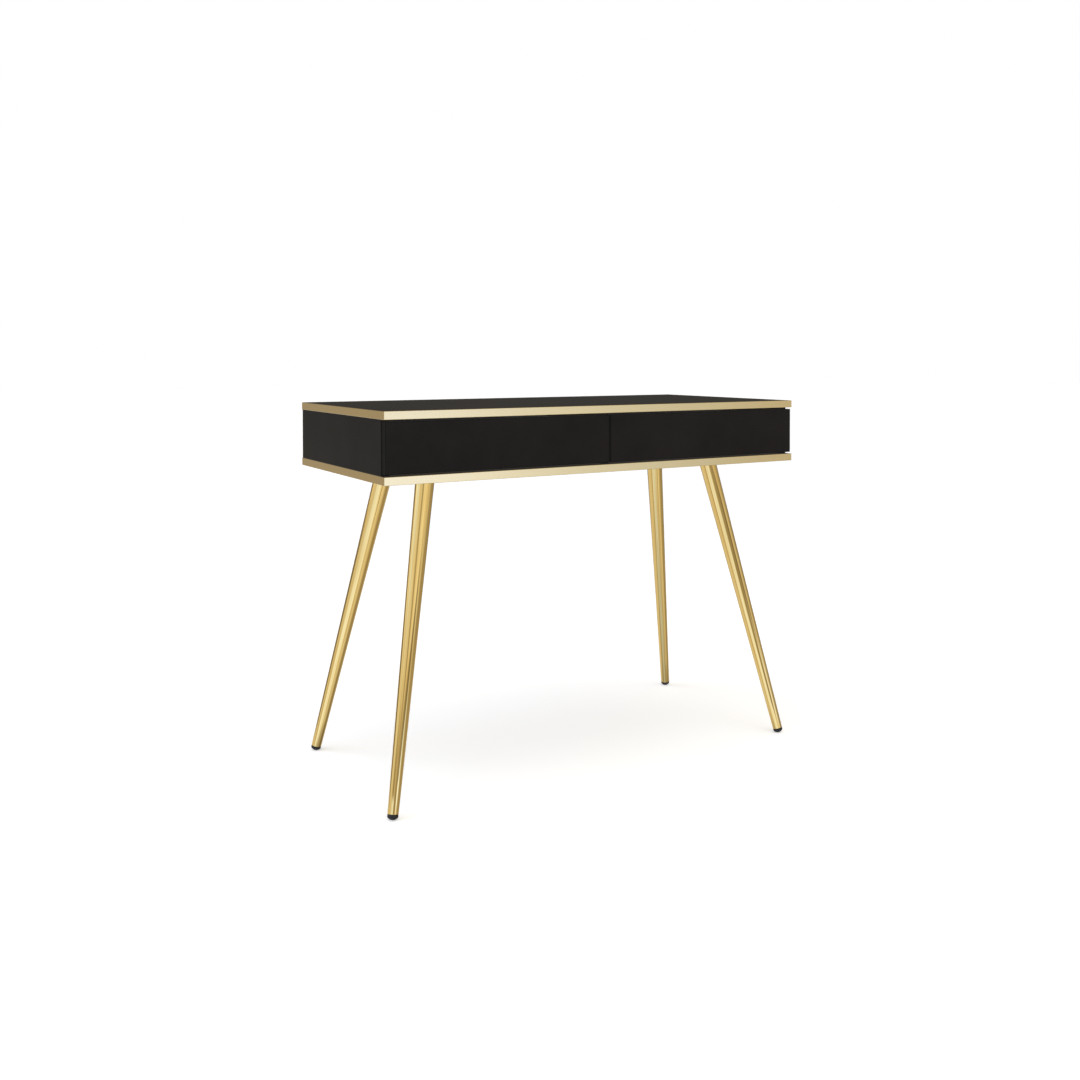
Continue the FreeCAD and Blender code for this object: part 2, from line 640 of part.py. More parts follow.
for side_name, bay in sides.items():
    fixed = [channel(side, "0", "fixed_reach", "fixed_half") for side in (-1, 1)]
    fixed_rails = rail_pair(side_name + "_fixed_rails", bay, rail_front, fixed, "slide_length")
    drill(fixed_rails, "YZ_Plane", "-%s / 2" % bay_width, wall_screw_places,
          "flush_head + fit_play", "gauge")
    drill(fixed_rails, "YZ_Plane", "%s / 2" % bay_width, wall_screw_places,
          "flush_head + fit_play", "gauge", reverse=True)
    middle = [channel(side, "middle_start", "middle_reach", "middle_half") for side in (-1, 1)]
    rail_pair(side_name + "_middle_rails", bay, "%s - slide_end_step" % rail_front, middle,
              "slide_length - 2 * slide_end_step")
    outer_level = "(fixed_half + middle_half - gauge) / 2"
    ball_cages(side_name + "_outer_ball_cages", bay, "outer_cage_start", "outer_cage_reach",
               outer_level, "outer_ball_line")
    inner_level = "(middle_half + inner_half - gauge) / 2"
    ball_cages(side_name + "_inner_ball_cages", bay, "inner_cage_start", "inner_cage_reach",
               inner_level, "inner_ball_line")

for side_name, bay in sides.items():
    for hand in (-1, 1):
        face = "%d * %s + %d * %s / 2" % (bay, bay_middle, hand, bay_width)
        pad_circles(wall_screws, "YZ_Plane", face, wall_screw_places, "wood_screw",
                    "rail_screw_length" if bay == hand else "board / 2 - fit_play", reverse=hand < 0)
        pad_circles(wall_screws, "YZ_Plane", face, wall_screw_places, "flush_head", "gauge",
                    reverse=hand > 0)


# ---- drawers -------------------------------------------------------------------------------------

front_length = "(desk_length / 2 - front_end_gap - front_gap / 2)"
front_middle = "(desk_length / 4 - front_end_gap / 2 + front_gap / 4)"
front_height = "(case_height - 2 * front_gap)"
front_y = "(front_recess + board / 2 - desk_depth / 2)"
front_floor = "(%s + front_gap)" % case_floor
box_front_y = "(%s + box_side / 2)" % front_back_face
box_back_y = "(%s + box_length - box_side / 2)" % front_back_face
box_middle_y = "(%s + box_length / 2)" % front_back_face
cross_width = "(%s - 2 * box_side)" % box_width
corner_screw_z = ["box_screw_edge", "box_height - box_screw_edge"]
corner_rows = grid(["(box_side - box_length) / 2", "(box_length - box_side) / 2"], corner_screw_z)


def front_bands(label, x, y, z):
    """Four black strips round a drawer front, the upright ones covering the ends of the others."""
    body = new_body(label, x, y, z)
    sketch = new_sketch(body, "XZ_Plane", "-board / 2")
    half = "%s / 2" % front_length
    draw_rectangle(sketch, ("-" + half, "0"), ("band - %s" % half, front_height))
    draw_rectangle(sketch, ("%s - band" % half, "0"), (half, front_height))
    inner_end = "(%s - band - band_seam)" % half
    draw_rectangle(sketch, ("-" + inner_end, "0"), (inner_end, "band"))
    draw_rectangle(sketch, ("-" + inner_end, "%s - band" % front_height), (inner_end, front_height))
    extrude(body, "Pad", sketch, "board")
    return keep(label, body)


def make_drawer(side_name, bay):
    name = side_name + "_drawer_"
    x_front = "%d * %s" % (bay, front_middle)
    x_box = "%d * %s" % (bay, bay_middle)
    shift = "%d * (%s - %s)" % (bay, bay_middle, front_middle)
    box_level = "%s - %s" % (box_floor, front_floor)

    front = board(name + "front", "%s - 2 * band" % front_length, "board",
                  "%s - 2 * band" % front_height, x_front, front_y, "%s + band" % front_floor)
    fixing = [("%s %s front_screw_x" % (shift, sign_x),
               "%s - band + box_height / 2 %s front_screw_z" % (box_level, sign_z))
              for sign_x in ("-", "+") for sign_z in ("-", "+")]
    drill(front, "XZ_Plane", "-board / 2", fixing, "wood_screw + fit_play", "front_screw_grip + fit_play")
    front_bands(name + "front_bands", x_front, front_y, front_floor)

    for hand_name, hand in sides.items():
        wall = board(name + hand_name + "_wall", "box_side", "box_length", "box_height",
                     "%s + %d * (%s - box_side) / 2" % (x_box, hand, box_width), box_middle_y, box_floor)
        groove = new_sketch(wall, "XZ_Plane", "-box_length / 2")
        inner = "%d * box_side / 2" % -hand
        floor_of_groove = "%d * (box_side / 2 - groove_depth)" % -hand
        draw_rectangle(groove, (floor_of_groove, "groove_lift"), (inner, "groove_lift + groove_width"))
        extrude(wall, "Pocket", groove, "box_length")
        outer = "%d * box_side / 2" % hand
        drill(wall, "YZ_Plane", outer, corner_rows, "box_screw_radius + fit_play", "box_side",
              reverse=hand > 0)
        rail_rows = [("%s - slide_end_step * 2 + %s - %s" % (rail_front, along, box_middle_y),
                      "box_height / 2") for along in rail_screw_y]
        drill(wall, "YZ_Plane", outer, rail_rows, "wood_screw + fit_play",
              "rail_screw_length + fit_play", reverse=hand > 0)

    for part_name, y, facing in (("box_front", box_front_y, 1), ("box_back", box_back_y, -1)):
        cross = board(name + part_name, cross_width, "box_side", "box_height", x_box, y, box_floor)
        groove = new_sketch(cross, "YZ_Plane", "-%s / 2" % cross_width)
        inner = "%d * box_side / 2" % facing
        floor_of_groove = "%d * (box_side / 2 - groove_depth)" % facing
        draw_rectangle(groove, (floor_of_groove, "groove_lift"), (inner, "groove_lift + groove_width"))
        extrude(cross, "Pocket", groove, cross_width)
        ends = [("0", level) for level in corner_screw_z]
        for hand in (-1, 1):
            drill(cross, "YZ_Plane", "%d * %s / 2" % (hand, cross_width), ends,
                  "box_screw_radius + fit_play", "box_screw_length - box_side + fit_play",
                  reverse=hand > 0)
        if part_name == "box_front":
            holes = [("%s front_screw_x" % sign_x, "box_height / 2 %s front_screw_z" % sign_z)
                     for sign_x in ("-", "+") for sign_z in ("-", "+")]
            drill(cross, "XZ_Plane", "-box_side / 2", holes, "wood_screw + fit_play", "box_side")

    board(name + "bottom", "%s + 2 * bottom_grip" % cross_width,
          "box_length - 2 * box_side + 2 * bottom_grip", "bottom_panel", x_box, box_middle_y,
          "%s + groove_lift + (groove_width - bottom_panel) / 2" % box_floor)

    inner = [channel(hand, "slide_width", "inner_start", "inner_half", False) for hand in (-1, 1)]
    drawer_rails = rail_pair(name + "rails", bay, "%s - 2 * slide_end_step" % rail_front, inner,
                             "slide_length - 2 * slide_end_step")
    rail_holes = [(along, "0") for along in rail_screw_y]
    for hand in (-1, 1):
        drill(drawer_rails, "YZ_Plane", "%d * %s / 2" % (hand, box_width), rail_holes,
              "flush_head + fit_play", "gauge", reverse=hand < 0)

    rail_screws = keep(name + "rail_screws", new_body(name + "rail_screws", x_box,
                       "%s - 2 * slide_end_step" % rail_front, rail_height))
    for hand in (-1, 1):
        face = "%d * %s / 2" % (hand, box_width)
        pad_circles(rail_screws, "YZ_Plane", face, rail_holes, "wood_screw", "rail_screw_length",
                    reverse=hand > 0)
        pad_circles(rail_screws, "YZ_Plane", face, rail_holes, "flush_head", "gauge", reverse=hand < 0)

    corner_screws = keep(name + "box_screws", new_body(name + "box_screws", x_box, box_middle_y, box_floor))
    for hand in (-1, 1):
        pad_circles(corner_screws, "YZ_Plane", "%d * %s / 2" % (hand, box_width), corner_rows,
                    "box_screw_radius", "box_screw_length", reverse=hand > 0)

    front_screws = keep(name + "front_screws", new_body(name + "front_screws", x_box,
                        "%s + box_side" % front_back_face, "%s + box_height / 2" % box_floor))
    places = [("%s front_screw_x" % sign_x, "%s front_screw_z" % sign_z)
              for sign_x in ("-", "") for sign_z in ("-", "")]
    pad_circles(front_screws, "XZ_Plane", "0", places, "wood_screw", "box_side + front_screw_grip")
    pad_circles(front_screws, "XZ_Plane", "0", places, "pan_head", "pan_head_height", reverse=True)


for side_name, bay in sides.items():
    make_drawer(side_name, bay)


# ---- push-to-open latches ------------------------------------------------------------------------

def make_latch(side_name, bay):
    x = "%d * %s" % (bay, bay_middle)
    housing = new_body(side_name + "_latch_housing", x, "%s + plunger_proud" % latch_front, case_floor)
    foot = new_sketch(housing, "XZ_Plane")
    draw_outline(foot, [
        ("-latch_foot_width / 2", "0"),
        ("latch_foot_width / 2", "0"),
        ("latch_foot_width / 2", "latch_foot"),
        ("latch_width / 2", "latch_foot"),
        ("latch_width / 2", "latch_height"),
        ("-latch_width / 2", "latch_height"),
        ("-latch_width / 2", "latch_foot"),
        ("-latch_foot_width / 2", "latch_foot"),
    ])
    extrude(housing, "Pad", foot, "latch_length", reverse=True)
    drill(housing, "XZ_Plane", "0", [("0", "latch_axis")], "plunger_radius + bore_play",
          "latch_length - latch_foot", reverse=True)
    drill(housing, "XY_Plane", "0", [("%s latch_screw_reach" % sign, "latch_length / 2")
                                     for sign in ("-", "")], "wood_screw + fit_play", "latch_foot")
    keep(side_name + "_latch_housing", housing)

    plunger = new_body(side_name + "_latch_plunger", x, latch_front, "%s + latch_axis" % case_floor)
    pad_circles(plunger, "XZ_Plane", "0", [("0", "0")], "plunger_radius", "plunger_length", reverse=True)
    keep(side_name + "_latch_plunger", plunger)


for side_name, bay in sides.items():
    make_latch(side_name, bay)

latch_fixings = keep("latch_screws", new_body("latch_screws", "0", "0", "%s + latch_foot" % case_floor))
pad_circles(latch_fixings, "XY_Plane", "0", latch_screws, "wood_screw", "wood_screw_length", reverse=True)
pad_circles(latch_fixings, "XY_Plane", "0", latch_screws, "pan_head", "pan_head_height")


# ---- checks and export ---------------------------------------------------------------------------

doc.recompute()
for item in doc.Objects:
    if "Invalid" in item.State or "Error" in item.State:
        raise ValueError("%s did not build: %s" % (item.Label, item.State))
for label, node in nodes.items():
    if node.Shape.isNull() or not node.Shape.isValid():
        raise ValueError("%s has no valid shape" % label)
for label, node in nodes.items():
    node.Shape.exportStep("parts/%s.step" % label)
    print("%-28s %3d solids  %10.1f mm3" % (label, len(node.Shape.Solids), node.Shape.Volume))
print("%d nodes" % len(nodes))
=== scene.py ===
import json
import math
import bmesh
import bpy
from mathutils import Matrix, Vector


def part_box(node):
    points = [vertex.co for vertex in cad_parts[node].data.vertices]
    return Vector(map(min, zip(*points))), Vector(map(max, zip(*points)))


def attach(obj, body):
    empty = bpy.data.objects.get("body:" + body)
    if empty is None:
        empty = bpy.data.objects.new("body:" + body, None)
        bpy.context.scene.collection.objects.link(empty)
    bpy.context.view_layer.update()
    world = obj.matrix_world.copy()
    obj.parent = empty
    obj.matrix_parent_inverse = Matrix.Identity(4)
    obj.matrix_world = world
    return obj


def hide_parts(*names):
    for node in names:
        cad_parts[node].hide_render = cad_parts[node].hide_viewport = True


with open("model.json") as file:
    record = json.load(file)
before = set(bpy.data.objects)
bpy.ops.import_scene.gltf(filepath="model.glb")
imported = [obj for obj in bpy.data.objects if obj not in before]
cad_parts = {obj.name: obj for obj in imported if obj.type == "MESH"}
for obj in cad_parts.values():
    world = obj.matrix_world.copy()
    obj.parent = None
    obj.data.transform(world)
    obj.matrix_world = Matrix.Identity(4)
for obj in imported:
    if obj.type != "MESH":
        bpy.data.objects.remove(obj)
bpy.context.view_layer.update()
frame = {"nodes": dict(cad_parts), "record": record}

nodes = frame["nodes"]
mm = 0.001
lengthAxis, depthAxis, upAxis = range(3)
legTilt = 15            # degrees from upright, leaning out along the diagonal
print("frame loaded:", len(nodes), "nodes")


# small helpers for materials

def linear(hexCode):
    # sRGB hex to the linear colour that a shader socket wants
    parts = [int(hexCode[i:i + 2], 16) / 255 for i in (1, 3, 5)]
    return [p / 12.92 if p <= 0.04045 else ((p + 0.055) / 1.055) ** 2.4 for p in parts] + [1.0]


def addNode(tree, kind, settings=None, links=None):
    # one node with its settings; links holds values or incoming links by socket name or number
    node = tree.nodes.new(kind)
    for name, setting in (settings or {}).items():
        setattr(node, name, setting)
    for name, source in (links or {}).items():
        socket = node.inputs[name]
        if isinstance(source, bpy.types.NodeSocket):
            tree.links.new(source, socket)
        else:
            socket.default_value = source
    return node


def startMaterial(name, shader):
    # a material with one Principled shader; the plain numbers go straight on its sockets
    material = bpy.data.materials.new(name)
    material.use_nodes = True
    tree = material.node_tree
    tree.nodes.clear()
    surface = addNode(tree, "ShaderNodeBsdfPrincipled", {}, shader)
    addNode(tree, "ShaderNodeOutputMaterial", {}, {"Surface": surface.outputs["BSDF"]})
    place = addNode(tree, "ShaderNodeTexCoord").outputs["Object"]
    return material, tree, surface, place


def setStops(ramp, stops):
    # stops are (position, colour) from low to high
    elements = ramp.color_ramp.elements
    while len(elements) < len(stops):
        elements.new(0.5)
    for element, (position, tint) in zip(elements, stops):
        element.position = position
        element.color = tint


def stretched(tree, place, width, along, axis):
    # a pattern's coordinates, scaled so that a grain has this width and this length along an axis
    scale = [1 / along if number == axis else 1 / width for number in range(3)]
    return addNode(tree, "ShaderNodeMapping", {}, {"Vector": place, "Scale": scale}).outputs["Vector"]


noiseSpan = (0.3, 0.7)      # where nearly all of a noise's values lie


def dress(tree, surface, look, tone, sheen=None, relief=None):
    # a surface's colour, sheen and relief, each following its own pattern
    tint = addNode(tree, "ShaderNodeValToRGB", {}, {"Fac": tone})
    low, high = look.get("toneSpan", noiseSpan)
    setStops(tint, [(low, linear(look["deep"])), (high, linear(look["pale"]))])
    tree.links.new(tint.outputs["Color"], surface.inputs["Base Color"])
    if sheen is not None:
        low, high = look.get("sheenSpan", (0.0, 1.0))
        least, most = look["roughness"]
        spread = addNode(tree, "ShaderNodeMapRange", {}, {
            "Value": sheen, "From Min": low, "From Max": high, "To Min": least, "To Max": most})
        tree.links.new(spread.outputs["Result"], surface.inputs["Roughness"])
    if relief is not None:
        bump = addNode(tree, "ShaderNodeBump", {}, {
            "Height": relief, "Distance": look["depth"], "Strength": look.get("strength", 1.0)})
        tree.links.new(bump.outputs["Normal"], surface.inputs["Normal"])


# materials, each after the real finish

melamine = {
    "deep": "#151312",
    "pale": "#1b1918",
    "toneSpan": (0.35, 0.65),
    "cloudSize": 140 * mm,
    "roughness": (0.37, 0.47),
    "sheenSpan": noiseSpan,
    "specular": 0.11,
    "reflectionTint": (1.0, 0.88, 0.74, 1.0),
    "pearlSize": 1.6 * mm,      # the pressed plate's orange-peel, drawn coarse enough to show
    "depth": 0.035 * mm,
}


def blackMelamine(look):
    # melamine-faced chipboard, resin film cured against a fine matt press plate:
    # deep black with a faint even pearl and hardly any gloss
    material, tree, surface, place = startMaterial("black_melamine", {
        "Specular IOR Level": look["specular"], "Specular Tint": look["reflectionTint"], "IOR": 1.5})
    cloud = addNode(tree, "ShaderNodeTexNoise", {}, {
        "Vector": place, "Scale": 1 / look["cloudSize"], "Detail": 3.0, "Roughness": 0.6})
    pearl = addNode(tree, "ShaderNodeTexNoise", {}, {
        "Vector": place, "Scale": 1 / look["pearlSize"], "Detail": 2.0, "Roughness": 0.5})
    dress(tree, surface, look, cloud.outputs["Fac"], pearl.outputs["Fac"], pearl.outputs["Fac"])
    return material


edgeBandWithGapShade = {
    # painted shade: these blacks are darker than the real band so that the gaps and the shadow line under
    # the top read dark
    "deep": "#090908",
    "pale": "#0f0e0d",
    "roughness": (0.4, 0.55),
    "specular": 0.08,
    "grainSize": 0.9 * mm,
    "depth": 0.02 * mm,
}


def blackEdgeBand(look):
    # ABS edge band, extruded and lightly embossed; its black is set deeper than the faces it frames as
    # painted shade, standing in for the shade in the gaps between the drawer fronts and under the top
    material, tree, surface, place = startMaterial("black_abs_edge_band_with_painted_gap_shade", {
        "Specular IOR Level": look["specular"], "IOR": 1.5})
    grain = addNode(tree, "ShaderNodeTexNoise", {}, {
        "Vector": place, "Scale": 1 / look["grainSize"], "Detail": 2.0}).outputs["Fac"]
    dress(tree, surface, look, grain, grain, grain)
    return material


goldBand = {
    "pale": "#ebd094",
    "deep": "#e0c283",
    "roughness": (0.11, 0.23),
    "sheenSpan": (0.25, 0.75),
    "coat": 0.15,
    "coatRoughness": 0.1,
    "hairWidth": 0.35 * mm,     # brushing marks across the strip's height
    "hairLength": 60 * mm,
    "depth": 0.004 * mm,
}


def goldEdgeBand(look):
    # ABS edge band under a vacuum-metallised foil: satin pale gold with fine lengthwise brushing
    material, tree, surface, place = startMaterial("metallised_gold_edge_band", {
        "Metallic": 1.0, "Coat Weight": look["coat"], "Coat Roughness": look["coatRoughness"]})
    hairs = addNode(tree, "ShaderNodeTexNoise", {}, {
        "Vector": stretched(tree, place, look["hairLength"], look["hairWidth"], upAxis),
        "Scale": 1.0, "Detail": 4.0, "Roughness": 0.6}).outputs["Fac"]
    dress(tree, surface, look, hairs, hairs, hairs)
    return material


goldPlate = {
    # pale and deep golds of the drawing lines and of the painted reflection streaks
    "pale": "#f1d58d",
    "deep": "#e0b96b",
    "roughness": (0.035, 0.085),
    "sheenSpan": noiseSpan,
    "hazeSize": 45 * mm,
    "lineAndStreakWidth": 2.4 * mm,      # drawing and polishing lines on the tube, deepened into long streaks of painted reflection
    "lineAndStreakLength": 320 * mm,
    "depth": 0.007 * mm,
    "strength": 0.5,
}


def goldPlatedSteel(look):
    # steel tube, polished along its length and plated in a gold tone: clear streaky reflections, with the
    # lengthwise streaks partly painted into its colour as painted reflection
    material, tree, surface, place = startMaterial("gold_plated_steel", {"Metallic": 1.0})
    # all four legs folded onto one and set upright, so that the drawing lines and painted reflection
    # streaks run along the tubes
    folded = addNode(tree, "ShaderNodeVectorMath", {"operation": "ABSOLUTE"}, {0: place})
    height = addNode(tree, "ShaderNodeSeparateXYZ", {}, {0: place})
    stray = math.tan(math.radians(legTilt)) / math.sqrt(2)      # outwards per metre down
    lean = addNode(tree, "ShaderNodeVectorMath", {"operation": "SCALE"}, {
        0: (stray, stray, 0), "Scale": height.outputs["Z"]})
    upright = addNode(tree, "ShaderNodeVectorMath", {"operation": "ADD"}, {
        0: folded.outputs["Vector"], 1: lean.outputs["Vector"]})
    streakSpace = stretched(tree, upright.outputs["Vector"], look["lineAndStreakWidth"], look["lineAndStreakLength"], upAxis)
    # painted reflection: darker and paler lengthwise bands in the gold's colour stand in for reflected
    # streaks of the room, over real drawing lines
    linesAndPaintedStreaks = addNode(tree, "ShaderNodeTexNoise", {}, {
        "Vector": streakSpace, "Scale": 1.0, "Detail": 3.0, "Roughness": 0.55}).outputs["Fac"]
    haze = addNode(tree, "ShaderNodeTexNoise", {}, {
        "Vector": place, "Scale": 1 / look["hazeSize"], "Detail": 4.0})
    dress(tree, surface, look, linesAndPaintedStreaks, haze.outputs["Fac"], linesAndPaintedStreaks)
    return material


polypropylene = {
    "deep": "#060606",
    "pale": "#0c0c0c",
    "roughness": (0.26, 0.36),
    "grainSize": 4 * mm,
    "depth": 0.01 * mm,
}
acetal = {
    "deep": "#55565a",
    "pale": "#626368",
    "roughness": (0.38, 0.48),
    "grainSize": 2 * mm,
    "depth": 0.01 * mm,
}


def mouldedPlastic(name, look):
    # injection-moulded plastic: even colour with the faint sink and spark-eroded grain of its mould
    material, tree, surface, place = startMaterial(name, {"IOR": 1.49})
    grain = addNode(tree, "ShaderNodeTexNoise", {}, {
        "Vector": place, "Scale": 1 / look["grainSize"], "Detail": 2.0}).outputs["Fac"]
    dress(tree, surface, look, grain, grain, grain)
    return material


screwZinc = {
    "deep": "#9a9b9c",
    "pale": "#c2c3c4",
    "roughness": (0.30, 0.38),
    "sheenSpan": noiseSpan,
    "mottleWidth": 3.333 * mm,
    "mottleLength": 3.333 * mm,
}
stripZinc = {
    "deep": "#b4b5b6",
    "pale": "#c9cacb",
    "roughness": (0.30, 0.38),
    "sheenSpan": noiseSpan,
    "mottleWidth": 2 * mm,
    "mottleLength": 55.56 * mm,      # pulled along the rails, front to back
}
castZinc = {
    "deep": "#8b8c8d",
    "pale": "#a9aaab",
    "roughness": (0.41, 0.49),
    "sheenSpan": noiseSpan,
    "mottleWidth": 2.222 * mm,
    "mottleLength": 2.222 * mm,
}


def zincPlatedSteel(name, look):
    # zinc-plated steel, passivated: cool grey with soft mottling, pulled into lines where it was rolled
    material, tree, surface, place = startMaterial(name, {"Metallic": 1.0})
    mottle = addNode(tree, "ShaderNodeTexNoise", {}, {
        "Vector": stretched(tree, place, look["mottleWidth"], look["mottleLength"], depthAxis),
        "Scale": 1.0, "Detail": 5.0, "Roughness": 0.6}).outputs["Fac"]
    dress(tree, surface, look, mottle, mottle)
    return material


foil = {
    "deep": "#2a2a2b",
    "pale": "#3a3a3b",
    "toneSpan": (0.0, 1.0),
    "roughness": (0.5, 0.62),
    "specular": 0.3,
    "threadRun": 11.11 * mm,
    "threadSpacing": 0.625 * mm,
    "printSpan": (1.2, 1.8),      # the three printed waves added up, from darkest to palest
    "depth": 0.015 * mm,
}


def graphiteFoil(look):
    # chipboard under a printed paper foil: dark graphite with a fine woven print
    material, tree, surface, place = startMaterial("graphite_paper_foil", {
        "Specular IOR Level": look["specular"]})
    waves = [addNode(tree, "ShaderNodeTexNoise", {}, {
        "Vector": stretched(tree, place, look["threadRun"], look["threadSpacing"], axis),
        "Scale": 1.0, "Detail": 3.0}).outputs["Fac"]
        for axis in (lengthAxis, upAxis, depthAxis)]
    twoWaves = addNode(tree, "ShaderNodeMath", {"operation": "ADD"}, {0: waves[0], 1: waves[1]})
    allWaves = addNode(tree, "ShaderNodeMath", {"operation": "ADD"}, {
        0: twoWaves.outputs["Value"], 1: waves[2]})
    darkest, palest = look["printSpan"]
    weave = addNode(tree, "ShaderNodeMapRange", {}, {
        "Value": allWaves.outputs["Value"], "From Min": darkest, "From Max": palest}).outputs["Result"]
    dress(tree, surface, look, weave, weave, weave)
    return material


fibreboard = {
    "deep": "#222120",
    "pale": "#33312f",
    "roughness": (0.42, 0.6),
    "specular": 0.35,
    "fibreSize": 1.4 * mm,
    "tangle": 0.6,
    "depth": 0.03 * mm,
}


def hardboard(look):
    # high-density fibreboard lacquered dark on its show side: fine speckled fibres under a thin varnish
    material, tree, surface, place = startMaterial("lacquered_hardboard", {
        "Specular IOR Level": look["specular"]})
    fibre = addNode(tree, "ShaderNodeTexNoise", {}, {
        "Vector": place, "Scale": 1 / look["fibreSize"], "Detail": 6.0, "Roughness": 0.7,
        "Distortion": look["tangle"]}).outputs["Fac"]
    dress(tree, surface, look, fibre, fibre, fibre)
    return material


dowelBeech = {
    "deep": "#b98d60",
    "pale": "#d9b184",
    "roughness": 0.6,
    "grainWidth": 1.111 * mm,
    "grainLength": 16.67 * mm,
}


def beech(look):
    # turned beech dowel: straight pale grain with the short dark flecks of its rays
    material, tree, surface, place = startMaterial("beech", {"Roughness": look["roughness"]})
    grain = addNode(tree, "ShaderNodeTexNoise", {}, {
        "Vector": stretched(tree, place, look["grainWidth"], look["grainLength"], upAxis),
        "Scale": 1.0, "Detail": 4.0})
    dress(tree, surface, look, grain.outputs["Fac"])
    return material


finishes = {
    "black_laminate": blackMelamine(melamine),
    "black_edge_band": blackEdgeBand(edgeBandWithGapShade),
    "gold_edge_band": goldEdgeBand(goldBand),
    "gold_plated_steel": goldPlatedSteel(goldPlate),
    "black_plastic": mouldedPlastic("black_polypropylene", polypropylene),
    "grey_plastic": mouldedPlastic("grey_acetal", acetal),
    "zinc_steel": zincPlatedSteel("zinc_plated_screw_steel", screwZinc),
    "slide_steel": zincPlatedSteel("zinc_plated_strip", stripZinc),
    "zinc_alloy": zincPlatedSteel("die_cast_zinc", castZinc),
    "drawer_board": graphiteFoil(foil),
    "hardboard": hardboard(fibreboard),
    "beech": beech(dowelBeech),
}
print("materials made:", len(finishes))


def paint(piece, slotName):
    piece.data.materials.clear()
    piece.data.materials.append(finishes[slotName])


mirrored = {"gold_plated_steel", "black_plastic"}      # all that the polished gold reflects
slotOf = {row["node"]: row["material_slot"] for row in frame["record"]["subparts"]}
for name, piece in nodes.items():
    paint(piece, slotOf[name])
    piece.visible_glossy = slotOf[name] in mirrored


# camera, floor and light

viewpoint = {
    "place": (-1.2843, -2.2823, 0.8835),
    "turn": 32.27,             # degrees to the right of +Y
    "pitch": 1.1,              # degrees below level
    "focalLength": 38.18,
    "sensor": 36.0,
    "nearest": 0.01,
    "shiftX": -0.0648,
    "shiftY": -0.15,
}


def placeCamera(view):
    lens = bpy.data.cameras.new("camera")
    lens.sensor_width = view["sensor"]
    lens.lens = view["focalLength"]
    lens.shift_x = view["shiftX"]
    lens.shift_y = view["shiftY"]
    lens.clip_start = view["nearest"]
    camera = bpy.data.objects.new("camera", lens)
    camera.location = view["place"]
    camera.rotation_euler = (math.radians(90 - view["pitch"]), 0, -math.radians(view["turn"]))
    bpy.context.scene.collection.objects.link(camera)
    bpy.context.scene.camera = camera


placeCamera(viewpoint)


floorLook = {
    "halfWidth": 30,
    "colour": "#f5f3ee",
    "roughness": 0.9,
    "glow": 0.45,
}


def makeFloor(look):
    # a plain white sweep of floor that mirrors and polished metal don't see
    plan = bmesh.new()
    bmesh.ops.create_grid(plan, x_segments=1, y_segments=1, size=look["halfWidth"])
    mesh = bpy.data.meshes.new("floor")
    plan.to_mesh(mesh)
    plan.free()
    floor = bpy.data.objects.new("floor", mesh)
    bpy.context.scene.collection.objects.link(floor)
    material = startMaterial("floor_white", {
        "Base Color": linear(look["colour"]), "Roughness": look["roughness"], "Specular IOR Level": 0.0,
        "Emission Color": linear("#ffffff"), "Emission Strength": look["glow"]})[0]
    mesh.materials.append(material)
    floor.visible_glossy = False


makeFloor(floorLook)

